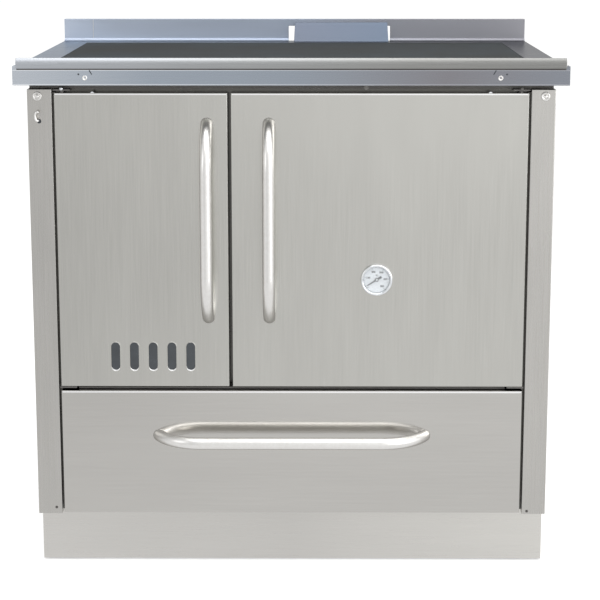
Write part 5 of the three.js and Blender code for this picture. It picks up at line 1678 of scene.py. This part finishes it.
    def build_world(self) -> None:
        """Makes the world white to the camera, and to metal a soft room, darker on the left."""
        world = bpy.data.worlds.new("studio")
        bpy.context.scene.world = world
        world.use_nodes = True
        tree = world.node_tree
        paths = add_node(tree, "ShaderNodeLightPath").outputs
        toward = add_node(tree, "ShaderNodeTexCoord").outputs["Generated"]
        bearing = add_node(tree, "ShaderNodeSeparateXYZ", {}, {0: toward}).outputs["X"]
        settings = {
            "interpolation_type": "SMOOTHSTEP", "From Min": -0.5, "From Max": 0.5,
            "To Min": self.room_light[0], "To Max": self.room_light[1],
        }
        room = add_node(tree, "ShaderNodeMapRange", settings, {"Value": bearing}).outputs["Result"]
        mirror = add_node(tree, "ShaderNodeMath", {"operation": "MAXIMUM"}, {
            0: paths["Is Glossy Ray"], 1: paths["Is Transmission Ray"],
        }).outputs[0]
        settings = {"data_type": "FLOAT", 2: self.world_light}
        plain = add_node(tree, "ShaderNodeMix", settings, {0: mirror, 3: room}).outputs[0]
        settings = {"data_type": "FLOAT", 3: 1.0}
        strength = add_node(tree, "ShaderNodeMix", settings, {0: paths["Is Camera Ray"], 2: plain})
        tree.links.new(strength.outputs[0], tree.nodes["Background"].inputs["Strength"])
        tree.nodes["Background"].inputs["Color"].default_value = (1, 1, 1, 1)

    def build_lamp(self, name: str, place: tuple, target: tuple, size: tuple, power: float) -> None:
        """Adds one soft rectangular lamp.

        Args:
            name: the lamp's name.
            place: where it hangs.
            target: the point it faces.
            size: its width and height.
            power: its power in watts.
        """
        light = bpy.data.lights.new(name, "AREA")
        light.shape = "RECTANGLE"
        light.size, light.size_y = size
        light.energy = power
        lamp = bpy.data.objects.new(name, light)
        lamp.location = place
        lamp.rotation_euler = (Vector(target) - Vector(place)).to_track_quat("-Z", "Y").to_euler()
        bpy.context.scene.collection.objects.link(lamp)

    def build_camera(self) -> None:
        """Sets the photograph's viewpoint."""
        data = bpy.data.cameras.new("camera")
        data.lens = self.lens_in_frames * data.sensor_width
        data.shift_x = self.shift_x
        data.shift_y = self.shift_y
        camera = bpy.data.objects.new("camera", data)
        camera.location = self.camera_place
        down, turn = math.radians(self.camera_down_deg), math.radians(self.camera_turn_deg)
        camera.rotation_euler = (math.pi / 2 - down, 0.0, turn)
        bpy.context.scene.collection.objects.link(camera)
        bpy.context.scene.camera = camera


def main() -> None:
    """Builds the studio and every sub-assembly."""
    logging.basicConfig(level=logging.INFO, format="%(name)s: %(message)s")
    bpy.context.scene.view_settings.view_transform = "Standard"
    Studio().build()
    for part in (Carcass(), Worktop(), Doors(), VentRims(), Drawer(), Thermometer(), AirHook(), Fixings()):
        LOG.info("dressing %s", type(part).__name__)
        part.dress()


if __name__ == "__main__":
    main()
